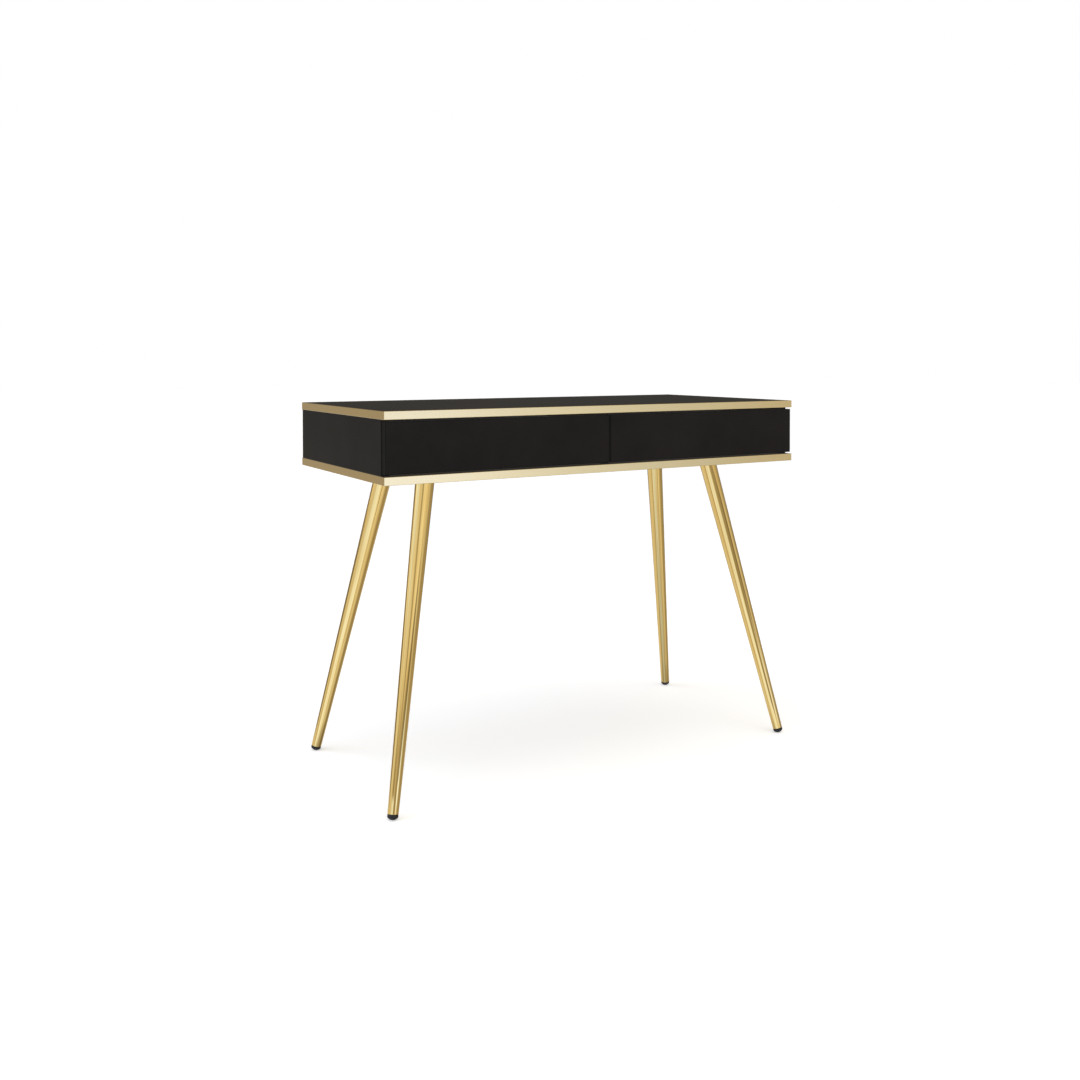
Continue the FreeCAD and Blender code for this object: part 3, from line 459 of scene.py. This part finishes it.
# what polished metal mirrors, by compass turn in degrees: back 0, left 90, front 180, right 270.
# cool stops are windows, warm ones the room between them
studio = {
    "peak": 3.0,
    "tones": {
        "sky": (0.84, 1.04, 1.75),
        "cool": (0.88, 1.02, 1.4),
        "plain": (1.0, 1.0, 1.0),
        "warm": (1.0, 0.93, 0.80),
    },
    "rings": [      # from low to high; a ring takes over between the two heights it gives
        {"stops": [
            (0, 0.75, "plain"), (30, 0.80, "plain"), (50, 0.85, "plain"), (80, 0.85, "plain"),
            (88, 0.45, "warm"), (96, 0.90, "plain"), (112, 1.25, "cool"), (148, 1.25, "cool"),
            (172, 0.92, "plain"), (206, 0.90, "plain"), (226, 0.60, "warm"), (244, 0.38, "warm"),
            (296, 0.50, "warm"), (325, 0.80, "plain"), (360, 0.75, "plain"),
        ]},
        {"from": (-0.28, -0.15), "stops": [
            (0, 0.12, "warm"), (14, 0.40, "warm"), (22, 0.47, "warm"), (30, 0.12, "warm"),
            (48, 0.30, "warm"), (66, 0.85, "plain"), (92, 0.80, "plain"), (112, 1.10, "cool"),
            (142, 1.15, "cool"), (150, 0.80, "plain"), (157, 0.40, "warm"), (178, 0.36, "warm"),
            (187, 0.80, "plain"), (195, 1.50, "sky"), (203, 1.50, "sky"), (209, 1.10, "cool"),
            (215, 0.86, "cool"), (222, 0.62, "plain"), (243, 0.42, "warm"), (290, 0.36, "warm"),
            (310, 0.14, "warm"), (344, 0.14, "warm"), (360, 0.22, "warm"),
        ]},
        {"from": (-0.03, 0.03), "stops": [
            (0, 0.12, "warm"), (20, 0.20, "warm"), (34, 0.25, "warm"), (46, 1.0, "plain"),
            (62, 0.95, "plain"), (84, 0.85, "plain"), (100, 0.78, "plain"), (112, 0.40, "warm"),
            (126, 0.40, "warm"), (140, 0.66, "warm"), (150, 0.62, "warm"), (164, 0.42, "warm"),
            (184, 0.42, "warm"), (192, 0.24, "warm"), (204, 0.28, "warm"), (212, 0.85, "plain"),
            (232, 0.70, "plain"), (250, 0.45, "warm"), (292, 0.30, "warm"), (310, 0.14, "warm"),
            (344, 0.14, "warm"),
        ]},
        {"from": (0.11, 0.19), "stops": [
            (0, 0.25, "warm"), (20, 0.30, "warm"), (34, 0.40, "warm"), (46, 1.35, "plain"),
            (60, 1.30, "cool"), (84, 1.05, "cool"), (112, 0.92, "plain"), (134, 0.80, "plain"),
            (141, 0.48, "warm"), (150, 0.48, "warm"), (157, 0.90, "plain"), (178, 1.05, "plain"),
            (204, 0.95, "plain"), (220, 0.75, "warm"), (244, 0.55, "warm"), (292, 0.36, "warm"),
            (312, 0.20, "warm"), (344, 0.20, "warm"),
        ]},
    ],
    "floorDim": (-0.76, -0.48, 0.50),      # two heights between which light falls off, to this share
}


def windowRing(tree, turn, stops, look):
    # the light of one ring all the way round, as shares of the peak
    ramp = addNode(tree, "ShaderNodeValToRGB", {}, {"Fac": turn})
    ramp.color_ramp.interpolation = "EASE"
    setStops(ramp, [(degrees / 360, [level / look["peak"] * part for part in look["tones"][tone]] + [1.0])
                    for degrees, level, tone in stops])
    return ramp.outputs["Color"]


def lightWorld(look):
    # the room as metal and matt faces see it, and plain white behind the desk
    world = bpy.data.worlds.new("studio")
    bpy.context.scene.world = world
    world.use_nodes = True
    tree = world.node_tree
    tree.nodes.clear()
    direction = addNode(tree, "ShaderNodeTexCoord").outputs["Generated"]
    parts = addNode(tree, "ShaderNodeSeparateXYZ", {}, {0: direction}).outputs
    leftwards = addNode(tree, "ShaderNodeMath", {"operation": "MULTIPLY"}, {0: parts["X"], 1: -1.0})
    angle = addNode(tree, "ShaderNodeMath", {"operation": "ARCTAN2"}, {
        0: leftwards.outputs["Value"], 1: parts["Y"]})
    share = addNode(tree, "ShaderNodeMath", {"operation": "DIVIDE"}, {
        0: angle.outputs["Value"], 1: 2 * math.pi})
    turn = addNode(tree, "ShaderNodeMath", {"operation": "FRACT"}, {0: share.outputs["Value"]})
    lowest, *higher = look["rings"]
    light = windowRing(tree, turn.outputs["Value"], lowest["stops"], look)
    for ring in higher:
        low, high = ring["from"]
        height = addNode(tree, "ShaderNodeMapRange", {"interpolation_type": "SMOOTHSTEP"}, {
            "Value": parts["Z"], "From Min": low, "From Max": high})
        colour = windowRing(tree, turn.outputs["Value"], ring["stops"], look)
        light = addNode(tree, "ShaderNodeMix", {"data_type": "RGBA"}, {
            "Factor": height.outputs["Result"], 6: light, 7: colour}).outputs[2]
    deep, shallow, least = look["floorDim"]
    dim = addNode(tree, "ShaderNodeMapRange", {"interpolation_type": "SMOOTHSTEP"}, {
        "Value": parts["Z"], "From Min": deep, "From Max": shallow, "To Min": least})
    strength = addNode(tree, "ShaderNodeMath", {"operation": "MULTIPLY"}, {
        0: dim.outputs["Result"], 1: look["peak"]})
    room = addNode(tree, "ShaderNodeBackground", {}, {
        "Color": light, "Strength": strength.outputs["Value"]})
    plain = addNode(tree, "ShaderNodeBackground", {}, {"Color": (1, 1, 1, 1), "Strength": 1.0})
    seen = addNode(tree, "ShaderNodeLightPath").outputs["Is Camera Ray"]
    shown = addNode(tree, "ShaderNodeMixShader", {}, {0: seen, 1: room.outputs[0], 2: plain.outputs[0]})
    addNode(tree, "ShaderNodeOutputWorld", {}, {"Surface": shown.outputs[0]})


lightWorld(studio)

overhead = {
    "place": (0.0, -0.4, 3.2),
    "aim": (0, 0, 0.4),
    "size": 3.5,
    "watts": 30,
}


def hangLamp(look):
    light = bpy.data.lights.new("overhead", "AREA")
    light.shape = "SQUARE"
    light.size = look["size"]
    light.energy = look["watts"]
    lamp = bpy.data.objects.new("overhead", light)
    lamp.location = look["place"]
    aim = Vector(look["aim"]) - Vector(look["place"])
    lamp.rotation_euler = aim.to_track_quat("-Z", "Y").to_euler()
    lamp.visible_glossy = False
    bpy.context.scene.collection.objects.link(lamp)


hangLamp(overhead)
bpy.context.scene.view_settings.view_transform = "Standard"
print("camera, floor and light set")


# pieces that stand for CAD nodes or add to them

def addPiece(name, mesh, body, slotName, replaced=()):
    mesh.name = name
    piece = bpy.data.objects.new(name, mesh)
    bpy.context.scene.collection.objects.link(piece)
    paint(piece, slotName)
    piece.visible_glossy = slotName in mirrored
    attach(piece, body)
    if replaced:
        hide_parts(*replaced)
    return piece


def meshFrom(shape, smooth=True):
    # closes a bmesh into a mesh with its faces turned outwards
    bmesh.ops.recalc_face_normals(shape, faces=shape.faces)
    for face in shape.faces:
        face.smooth = smooth
    mesh = bpy.data.meshes.new("piece")
    shape.to_mesh(mesh)
    shape.free()
    return mesh


def finishedMesh(carrier):
    # the plain mesh that an object's modifiers leave; the object itself goes
    bpy.context.view_layer.update()
    graph = bpy.context.evaluated_depsgraph_get()
    mesh = bpy.data.meshes.new_from_object(carrier.evaluated_get(graph), depsgraph=graph)
    bpy.data.objects.remove(carrier)
    return mesh


easing = {
    "segments": 3,
    "reach": 0.6 * mm,         # edges this near two sides of a node's box are the ones rounded
    "sharp": math.radians(20),
    "flat": math.radians(1),
    "sameSpot": 0.002 * mm,
}


def easedCopy(nodeName, radius):
    # a CAD board or strip with its outer edges rounded over
    low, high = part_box(nodeName)
    shape = bmesh.new()
    shape.from_mesh(nodes[nodeName].data)
    bmesh.ops.remove_doubles(shape, verts=shape.verts, dist=easing["sameSpot"])
    bmesh.ops.dissolve_limit(shape, angle_limit=easing["flat"], verts=shape.verts, edges=shape.edges)
    weights = shape.edges.layers.float.new("bevel_weight_edge")
    for edge in shape.edges:
        middle = (edge.verts[0].co + edge.verts[1].co) / 2
        near = sum(min(middle[a] - low[a], high[a] - middle[a]) < easing["reach"] for a in range(3))
        isSharp = len(edge.link_faces) == 2 and edge.calc_face_angle() > easing["sharp"]
        edge[weights] = 1.0 if near >= 2 and isSharp else 0.0
    carrier = bpy.data.objects.new(nodeName + "_eased", meshFrom(shape, smooth=False))
    bpy.context.scene.collection.objects.link(carrier)
    bevel = carrier.modifiers.new("bevel", "BEVEL")
    bevel.width = radius
    bevel.segments = easing["segments"]
    bevel.limit_method = "WEIGHT"
    bevel.use_clamp_overlap = True
    return finishedMesh(carrier)


easedEdges = {
    "top_edge_bands": 0.18 * mm,
    "bottom_edge_bands": 0.18 * mm,
    "left_side_panel": 0.4 * mm,
    "right_side_panel": 0.4 * mm,
    "back_panel": 0.4 * mm,
    "left_drawer_front_bands": 0.35 * mm,
    "right_drawer_front_bands": 0.35 * mm,
}
bodyOf = {node: body for body, members in frame["record"]["behaviour"]["bodies"].items()
          for node in members}
for nodeName, radius in easedEdges.items():
    addPiece(nodeName + "_eased", easedCopy(nodeName, radius), bodyOf[nodeName],
             slotOf[nodeName], [nodeName])
print("edges eased:", len(easedEdges))

leg = {
    "plateRadius": 42 * mm,
    "topRadius": 19.55 * mm,     # where the axis meets the board
    "floorRadius": 10.65 * mm,   # where the taper would reach the floor
    "wall": 1.5 * mm,
    "end": 11 * mm,              # metal ends this far up the axis
    "rim": 0.7 * mm,             # rounding of the cut end
    "around": 96,
    "along": 10,
    "rimSteps": 4,
    "crease": math.radians(35),
}
glide = {
    "dome": 13 * mm,
    "flat": 0.35 * mm,
    "setback": 0.15 * mm,        # cap inside the tube's outer wall
    "groove": 0.5 * mm,          # shadow gap between the tube's end and the cap
    "shoulder": 0.9 * mm,        # rounding at the dome's upper edge
    "shoulderSteps": 3,
    "brimEdge": 0.3 * mm,
    "plug": 14 * mm,
    "play": 0.1 * mm,
    "around": 72,
    "domeSteps": 14,
    "crease": math.radians(50),
}
bead = {
    "radius": 2.0 * mm,
    "ripple": 0.35 * mm,         # scales left by the torch
    "ripples": 46,
    "sunk": 0.4 * mm,            # how far it reaches up into the plate
    "around": 184,
    "section": 8,
}
plateLow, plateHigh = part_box("leg_plates")
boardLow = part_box("bottom_board")[0]
tilt = math.radians(legTilt)
axisLength = boardLow.z / math.cos(tilt)
taper = (leg["topRadius"] - leg["floorRadius"]) / axisLength


def legAxis(across, along):
    # the point where a leg's axis meets the floor, and its direction upwards
    inset = leg["plateRadius"]
    top = Vector((across * (plateHigh.x - inset), along * (plateHigh.y - inset), boardLow.z))
    lean = math.sin(tilt) / math.sqrt(2)
    up = Vector((-across * lean, -along * lean, math.cos(tilt)))
    return top - up * axisLength, up


def ringWays(up, count):
    # unit steps outwards from an axis, all the way round it
    side = up.orthogonal().normalized()
    other = up.cross(side)
    turns = [2 * math.pi * i / count for i in range(count)]
    return [side * math.cos(turn) + other * math.sin(turn) for turn in turns]


def skin(shape, rings, closed=False):
    # joins rings of vertices into a tube
    pairs = list(zip(rings, rings[1:]))
    if closed:
        pairs.append((rings[-1], rings[0]))
    for lower, upper in pairs:
        count = len(lower)
        for i in range(count):
            j = (i + 1) % count
            shape.faces.new((lower[i], lower[j], upper[j], upper[i]))


def sharpenEdges(mesh, angle):
    # smooth faces, with a crease kept where two of them meet at more than the angle
    shape = bmesh.new()
    shape.from_mesh(mesh)
    for edge in shape.edges:
        if len(edge.link_faces) == 2 and edge.calc_face_angle() > angle:
            edge.smooth = False
    shape.to_mesh(mesh)
    shape.free()


def conePoint(foot, up, way, height, inwards=0.0):
    # a point on a leg's outer wall, or that far inside it
    return foot + up * height + way * (leg["floorRadius"] + taper * height - inwards)


def plateHeight(foot, up, way, inwards=0.0):
    # how far up the axis the wall meets the plate's underside
    low = conePoint(foot, up, way, 0, inwards).z
    rise = conePoint(foot, up, way, 1, inwards).z - low
    return (plateLow.z - low) / rise


def legMesh(across, along):
    # outer wall from the rounded end up to the plate, then the inner wall back down
    foot, up = legAxis(across, along)
    ways = ringWays(up, leg["around"])
    wall = leg["wall"]
    end = leg["end"]
    places = [[conePoint(foot, up, way, plateHeight(foot, up, way, wall), wall) for way in ways],
              [conePoint(foot, up, way, end, wall) for way in ways]]
    for step in range(leg["rimSteps"], -1, -1):
        swing = math.pi / 2 * step / leg["rimSteps"]
        height = end + leg["rim"] * (1 - math.sin(swing))
        inwards = leg["rim"] * (1 - math.cos(swing))
        places.append([conePoint(foot, up, way, height, inwards) for way in ways])
    start = end + leg["rim"]
    for step in range(1, leg["along"] + 1):
        share = step / leg["along"]
        places.append([conePoint(foot, up, way, start + (plateHeight(foot, up, way) - start) * share)
                       for way in ways])
    shape = bmesh.new()
    skin(shape, [[shape.verts.new(place) for place in ring] for ring in places], closed=True)
    mesh = meshFrom(shape)
    sharpenEdges(mesh, leg["crease"])
    return mesh


def glideProfile():
    # radius and height up the axis, from beside the dome's tip to the top of the plug
    dome = glide["dome"]
    centre = (dome - glide["flat"]) / math.cos(tilt)
    collar = leg["floorRadius"] + taper * leg["end"] - glide["setback"]
    neck = collar - leg["wall"] - glide["play"]
    last = math.asin((collar - glide["shoulder"] / 2) / dome)
    swings = [last * step / glide["domeSteps"] for step in range(1, glide["domeSteps"] + 1)]
    profile = [(dome * math.sin(swing), centre - dome * math.cos(swing)) for swing in swings]
    radius, height = profile[-1]
    for step in range(1, glide["shoulderSteps"] + 1):
        swing = math.pi / 2 * step / glide["shoulderSteps"]
        profile.append((radius + (collar - radius) * math.sin(swing),
                        height + glide["shoulder"] * (1 - math.cos(swing))))
    brim = leg["end"] - glide["groove"]
    edge = glide["brimEdge"]
    profile += [(collar, brim - edge), (collar - edge, brim), (neck, brim),
                (neck, leg["end"] + glide["plug"])]
    return profile, centre - dome


def glideMesh(across, along):
    # domed cap, its rounded shoulder and a short neck up into the tube
    foot, up = legAxis(across, along)
    ways = ringWays(up, glide["around"])
    profile, tipHeight = glideProfile()
    shape = bmesh.new()

    def onFloor(place):
        # the dome is worn flat where it stands
        return shape.verts.new((place.x, place.y, max(place.z, 0.0)))

    rings = [[onFloor(foot + up * height + way * radius) for way in ways] for radius, height in profile]
    skin(shape, rings)
    tip = onFloor(foot + up * tipHeight)
    crown = shape.verts.new(foot + up * (leg["end"] + glide["plug"]))
    count = len(ways)
    for i in range(count):
        j = (i + 1) % count
        shape.faces.new((tip, rings[0][j], rings[0][i]))
        shape.faces.new((crown, rings[-1][i], rings[-1][j]))
    mesh = meshFrom(shape)
    sharpenEdges(mesh, glide["crease"])
    return mesh


def beadMesh(across, along):
    # fillet weld round the leg's top, with the ripple of its scales
    foot, up = legAxis(across, along)
    top = foot + up * axisLength
    turns = [2 * math.pi * i / bead["section"] for i in range(bead["section"])]
    shape = bmesh.new()
    rings = []
    for number, way in enumerate(ringWays(up, bead["around"])):
        spot = conePoint(foot, up, way, plateHeight(foot, up, way))
        outwards = Vector((spot.x - top.x, spot.y - top.y, 0)).normalized()
        ripple = abs(math.sin(math.pi * bead["ripples"] * number / bead["around"]))
        radius = bead["radius"] + bead["ripple"] * ripple
        places = [spot + outwards * radius * math.cos(turn) - Vector((0, 0, radius * math.sin(turn)))
                  for turn in turns]
        rings.append([shape.verts.new((p.x, p.y, min(p.z, plateLow.z + bead["sunk"]))) for p in places])
    skin(shape, rings, closed=True)
    return meshFrom(shape)


corners = {"front_left": (-1, -1), "front_right": (1, -1), "back_left": (-1, 1), "back_right": (1, 1)}
for cornerName, (across, along) in corners.items():
    addPiece("tapered_leg_" + cornerName, legMesh(across, along), "desk", "gold_plated_steel",
             ["leg_" + cornerName])
    addPiece("domed_glide_" + cornerName, glideMesh(across, along), "desk", "black_plastic",
             ["glide_" + cornerName])
    seam = addPiece("weld_bead_" + cornerName, beadMesh(across, along), "desk", "gold_plated_steel")
    seam.visible_glossy = False
print("legs, caps and welds made:", len(corners))


# screws, instanced on the spots where the CAD has them

fastener = {
    "around": 28,
    "shankAround": 12,
    # shares of the head's height, each with the narrowing of the ring there
    "crown": [(0.42, 0.95), (0.33, 0.84), (0.25, 0.62)],
    "sameSpot": 0.001 * mm,
    "barLength": 1.15,           # of the head's radius, for the two bars of a cross
    "crease": math.radians(32),
    "seed": 7,
    "sameLevel": 0.05 * mm,
    "leastBrim": 0.2 * mm,       # with less overhang than this the CAD screw has no head
    "brimShare": 0.95,
}
fastenerInputs = {
    "Spots": "NodeSocketGeometry",
    "Head Radius": "NodeSocketFloat",
    "Head Height": "NodeSocketFloat",
    "Recess Width": "NodeSocketFloat",
    "Recess Depth": "NodeSocketFloat",
    "Hexagon": "NodeSocketBool",
    "Shank Radius": "NodeSocketFloat",
    "Shank Length": "NodeSocketFloat",
    "Seed": "NodeSocketInt",
    "Finish": "NodeSocketMaterial",
}


def roundHead(tree, sizes):
    # a disc drawn up in narrowing steps, closed underneath
    disc = addNode(tree, "GeometryNodeMeshCircle", {"fill_type": "NGON"}, {
        "Vertices": fastener["around"], "Radius": sizes["Head Radius"]}).outputs["Mesh"]
    head = disc
    chosen = None
    for share, narrowing in fastener["crown"]:
        rise = addNode(tree, "ShaderNodeMath", {"operation": "MULTIPLY"}, {
            0: sizes["Head Height"], 1: share}).outputs["Value"]
        offset = addNode(tree, "ShaderNodeCombineXYZ", {}, {"Z": rise}).outputs["Vector"]
        links = {"Mesh": head, "Offset": offset, "Individual": False}
        if chosen is not None:
            links["Selection"] = chosen
        step = addNode(tree, "GeometryNodeExtrudeMesh", {"mode": "FACES"}, links)
        chosen = step.outputs["Top"]
        narrowed = addNode(tree, "GeometryNodeScaleElements", {"domain": "FACE"}, {
            "Geometry": step.outputs["Mesh"], "Selection": chosen, "Scale": narrowing})
        head = narrowed.outputs["Geometry"]
    under = addNode(tree, "GeometryNodeFlipFaces", {}, {"Mesh": disc}).outputs["Mesh"]
    join = addNode(tree, "GeometryNodeJoinGeometry")
    tree.links.new(head, join.inputs[0])
    tree.links.new(under, join.inputs[0])
    return addNode(tree, "GeometryNodeMergeByDistance", {}, {
        "Geometry": join.outputs[0], "Distance": fastener["sameSpot"]}).outputs["Geometry"]


def driverRecess(tree, sizes):
    # the cross or hexagon that is cut out; half its depth is above the head
    depth = addNode(tree, "ShaderNodeMath", {"operation": "MULTIPLY"}, {
        0: sizes["Recess Depth"], 1: 2.0}).outputs["Value"]
    width = sizes["Recess Width"]
    barLength = addNode(tree, "ShaderNodeMath", {"operation": "MULTIPLY"}, {
        0: sizes["Head Radius"], 1: fastener["barLength"]}).outputs["Value"]
    cross = addNode(tree, "GeometryNodeMeshBoolean", {"operation": "UNION", "solver": "EXACT"})
    for across, along in ((barLength, width), (width, barLength)):
        size = addNode(tree, "ShaderNodeCombineXYZ", {}, {"X": across, "Y": along, "Z": depth})
        bar = addNode(tree, "GeometryNodeMeshCube", {}, {"Size": size.outputs["Vector"]})
        tree.links.new(bar.outputs["Mesh"], cross.inputs["Mesh 2"])
    hexagon = addNode(tree, "GeometryNodeMeshCylinder", {}, {
        "Vertices": 6, "Radius": width, "Depth": depth}).outputs["Mesh"]
    recess = addNode(tree, "GeometryNodeSwitch", {"input_type": "GEOMETRY"}, {
        "Switch": sizes["Hexagon"], "False": cross.outputs["Mesh"], "True": hexagon}).outputs["Output"]
    lift = addNode(tree, "ShaderNodeCombineXYZ", {}, {"Z": sizes["Head Height"]}).outputs["Vector"]
    return addNode(tree, "GeometryNodeTransform", {}, {
        "Geometry": recess, "Translation": lift}).outputs["Geometry"]


def plainShank(tree, sizes):
    shank = addNode(tree, "GeometryNodeMeshCylinder", {}, {
        "Vertices": fastener["shankAround"], "Radius": sizes["Shank Radius"],
        "Depth": sizes["Shank Length"]})
    half = addNode(tree, "ShaderNodeMath", {"operation": "MULTIPLY"}, {
        0: sizes["Shank Length"], 1: -0.5}).outputs["Value"]
    drop = addNode(tree, "ShaderNodeCombineXYZ", {}, {"Z": half}).outputs["Vector"]
    return addNode(tree, "GeometryNodeTransform", {}, {
        "Geometry": shank.outputs["Mesh"], "Translation": drop}).outputs["Geometry"]


def fastenerTree():
    # a domed head with a cross or hexagon recess on a plain shank, one on every point
    tree = bpy.data.node_groups.new("fasteners", "GeometryNodeTree")
    for name, kind in fastenerInputs.items():
        tree.interface.new_socket(name, in_out="INPUT", socket_type=kind)
    tree.interface.new_socket("Screws", in_out="OUTPUT", socket_type="NodeSocketGeometry")
    sizes = addNode(tree, "NodeGroupInput").outputs
    cut = addNode(tree, "GeometryNodeMeshBoolean", {"operation": "DIFFERENCE", "solver": "EXACT"}, {
        "Mesh 1": roundHead(tree, sizes), "Mesh 2": driverRecess(tree, sizes)}).outputs["Mesh"]
    screw = addNode(tree, "GeometryNodeJoinGeometry")
    tree.links.new(cut, screw.inputs[0])
    tree.links.new(plainShank(tree, sizes), screw.inputs[0])

    # each one stands along its own facing and is turned at random about it
    points = addNode(tree, "GeometryNodeMeshToPoints", {}, {"Mesh": sizes["Spots"]}).outputs["Points"]
    facing = addNode(tree, "GeometryNodeInputNamedAttribute", {"data_type": "FLOAT_VECTOR"}, {
        "Name": "facing"}).outputs["Attribute"]
    upright = addNode(tree, "FunctionNodeAlignRotationToVector", {"axis": "Z"}, {
        "Vector": facing}).outputs["Rotation"]
    spin = addNode(tree, "FunctionNodeRandomValue", {"data_type": "FLOAT"}, {
        2: 0.0, 3: 2 * math.pi, "Seed": sizes["Seed"]}).outputs[1]
    euler = addNode(tree, "ShaderNodeCombineXYZ", {}, {"Z": spin}).outputs["Vector"]
    swing = addNode(tree, "FunctionNodeEulerToRotation", {}, {"Euler": euler}).outputs["Rotation"]
    turned = addNode(tree, "FunctionNodeRotateRotation", {"rotation_space": "LOCAL"}, {
        "Rotation": upright, "Rotate By": swing}).outputs["Rotation"]
    instances = addNode(tree, "GeometryNodeInstanceOnPoints", {}, {
        "Points": points, "Instance": screw.outputs[0], "Rotation": turned}).outputs["Instances"]
    real = addNode(tree, "GeometryNodeRealizeInstances", {}, {"Geometry": instances}).outputs["Geometry"]
    coated = addNode(tree, "GeometryNodeSetMaterial", {}, {
        "Geometry": real, "Material": sizes["Finish"]}).outputs["Geometry"]
    addNode(tree, "NodeGroupOutput", {}, {"Screws": coated})
    return tree


def islands(nodeName):
    # the separate solids of a CAD node, each as its list of corner points
    shape = bmesh.new()
    shape.from_mesh(nodes[nodeName].data)
    bmesh.ops.remove_doubles(shape, verts=shape.verts, dist=easing["sameSpot"])
    seen = set()
    found = []
    for start in shape.verts:
        if start in seen:
            continue
        seen.add(start)
        waiting = [start]
        group = []
        while waiting:
            vertex = waiting.pop()
            group.append(vertex.co.copy())
            for edge in vertex.link_edges:
                other = edge.other_vert(vertex)
                if other not in seen:
                    seen.add(other)
                    waiting.append(other)
        found.append(group)
    shape.free()
    return found


def fromAxis(point, middle, axis):
    # how far a point is from the line through middle along X, Y or Z
    away = point - middle
    away[axis] = 0.0
    return away.length


def screwSpots(nodeName):
    # where each head's underside is and which way it faces, and the sizes that the screws share
    nodeMiddle = sum(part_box(nodeName), Vector()) / 2
    spots = []
    for points in islands(nodeName):
        low = Vector([min(p[a] for p in points) for a in range(3)])
        high = Vector([max(p[a] for p in points) for a in range(3)])
        axis = max(range(3), key=lambda a: high[a] - low[a])
        middle = (low + high) / 2
        lowReach, highReach = [max(fromAxis(p, middle, axis) for p in points
                                   if abs(p[axis] - end[axis]) < fastener["sameLevel"])
                               for end in (low, high)]
        isHeaded = abs(lowReach - highReach) >= fastener["leastBrim"]
        if isHeaded:
            isUpper = highReach > lowReach
        elif abs(nodeMiddle[axis]) < mm:
            isUpper = high[axis] > 0
        else:
            isUpper = high[axis] > nodeMiddle[axis]
        reach = max(lowReach, highReach)
        brim = [p[axis] for p in points if fromAxis(p, middle, axis) > reach * fastener["brimShare"]]
        depth = max(brim) - min(brim) if isHeaded else 0.0
        facing = Vector()
        facing[axis] = 1.0 if isUpper else -1.0
        place = middle.copy()
        place[axis] = (high if isUpper else low)[axis] - facing[axis] * depth
        spots.append((place, facing))
        sizes = {
            "headRadius": reach,
            "headHeight": depth,
            "shankRadius": min(lowReach, highReach),
            "shankLength": high[axis] - low[axis] - depth,
        }
    return spots, sizes


# recess width and depth, whether it is a hexagon, and the head where the CAD leaves it out
screwNodes = {
    "leg_screws": {"recess": 1.1 * mm, "depth": 1.3 * mm},
    "latch_screws": {"recess": 1.1 * mm, "depth": 1.3 * mm},
    "case_screws": {"recess": 2.2 * mm, "depth": 2.0 * mm, "hexagon": True},
    "case_rail_screws": {"recess": 0.9 * mm, "depth": 0.8 * mm},
    "left_drawer_rail_screws": {"recess": 0.9 * mm, "depth": 0.8 * mm},
    "right_drawer_rail_screws": {"recess": 0.9 * mm, "depth": 0.8 * mm},
    "left_drawer_front_screws": {"recess": 1.1 * mm, "depth": 1.3 * mm},
    "right_drawer_front_screws": {"recess": 1.1 * mm, "depth": 1.3 * mm},
    "left_drawer_box_screws": {
        "recess": 1.0 * mm, "depth": 0.4 * mm, "radius": 3.4 * mm, "proud": 0.5 * mm},
    "right_drawer_box_screws": {
        "recess": 1.0 * mm, "depth": 0.4 * mm, "radius": 3.4 * mm, "proud": 0.5 * mm},
}


def makeScrews(nodeName, tree, look):
    spots, sizes = screwSpots(nodeName)
    mesh = bpy.data.meshes.new(nodeName + "_spots")
    mesh.from_pydata([place for place, facing in spots], [], [])
    ways = mesh.attributes.new("facing", "FLOAT_VECTOR", "POINT")
    for row, (place, facing) in zip(ways.data, spots):
        row.vector = facing
    carrier = bpy.data.objects.new(nodeName + "_spots", mesh)
    bpy.context.scene.collection.objects.link(carrier)
    modifier = carrier.modifiers.new("fasteners", "NODES")
    modifier.node_group = tree
    amounts = {
        "Head Radius": look.get("radius", sizes["headRadius"]),
        "Head Height": look.get("proud", sizes["headHeight"]),
        "Recess Width": look["recess"],
        "Recess Depth": look["depth"],
        "Hexagon": look.get("hexagon", False),
        "Shank Radius": sizes["shankRadius"],
        "Shank Length": sizes["shankLength"],
        "Seed": fastener["seed"],
        "Finish": finishes["zinc_steel"],
    }
    for socket in tree.interface.items_tree:
        if socket.name in amounts:
            modifier[socket.identifier] = amounts[socket.name]
    shape = bmesh.new()
    shape.from_mesh(finishedMesh(carrier))
    screws = meshFrom(shape)
    sharpenEdges(screws, fastener["crease"])
    addPiece(nodeName + "_recessed", screws, bodyOf[nodeName], "zinc_steel", [nodeName])


screwTree = fastenerTree()
for nodeName, look in screwNodes.items():
    makeScrews(nodeName, screwTree, look)
print("screws made:", len(screwNodes))
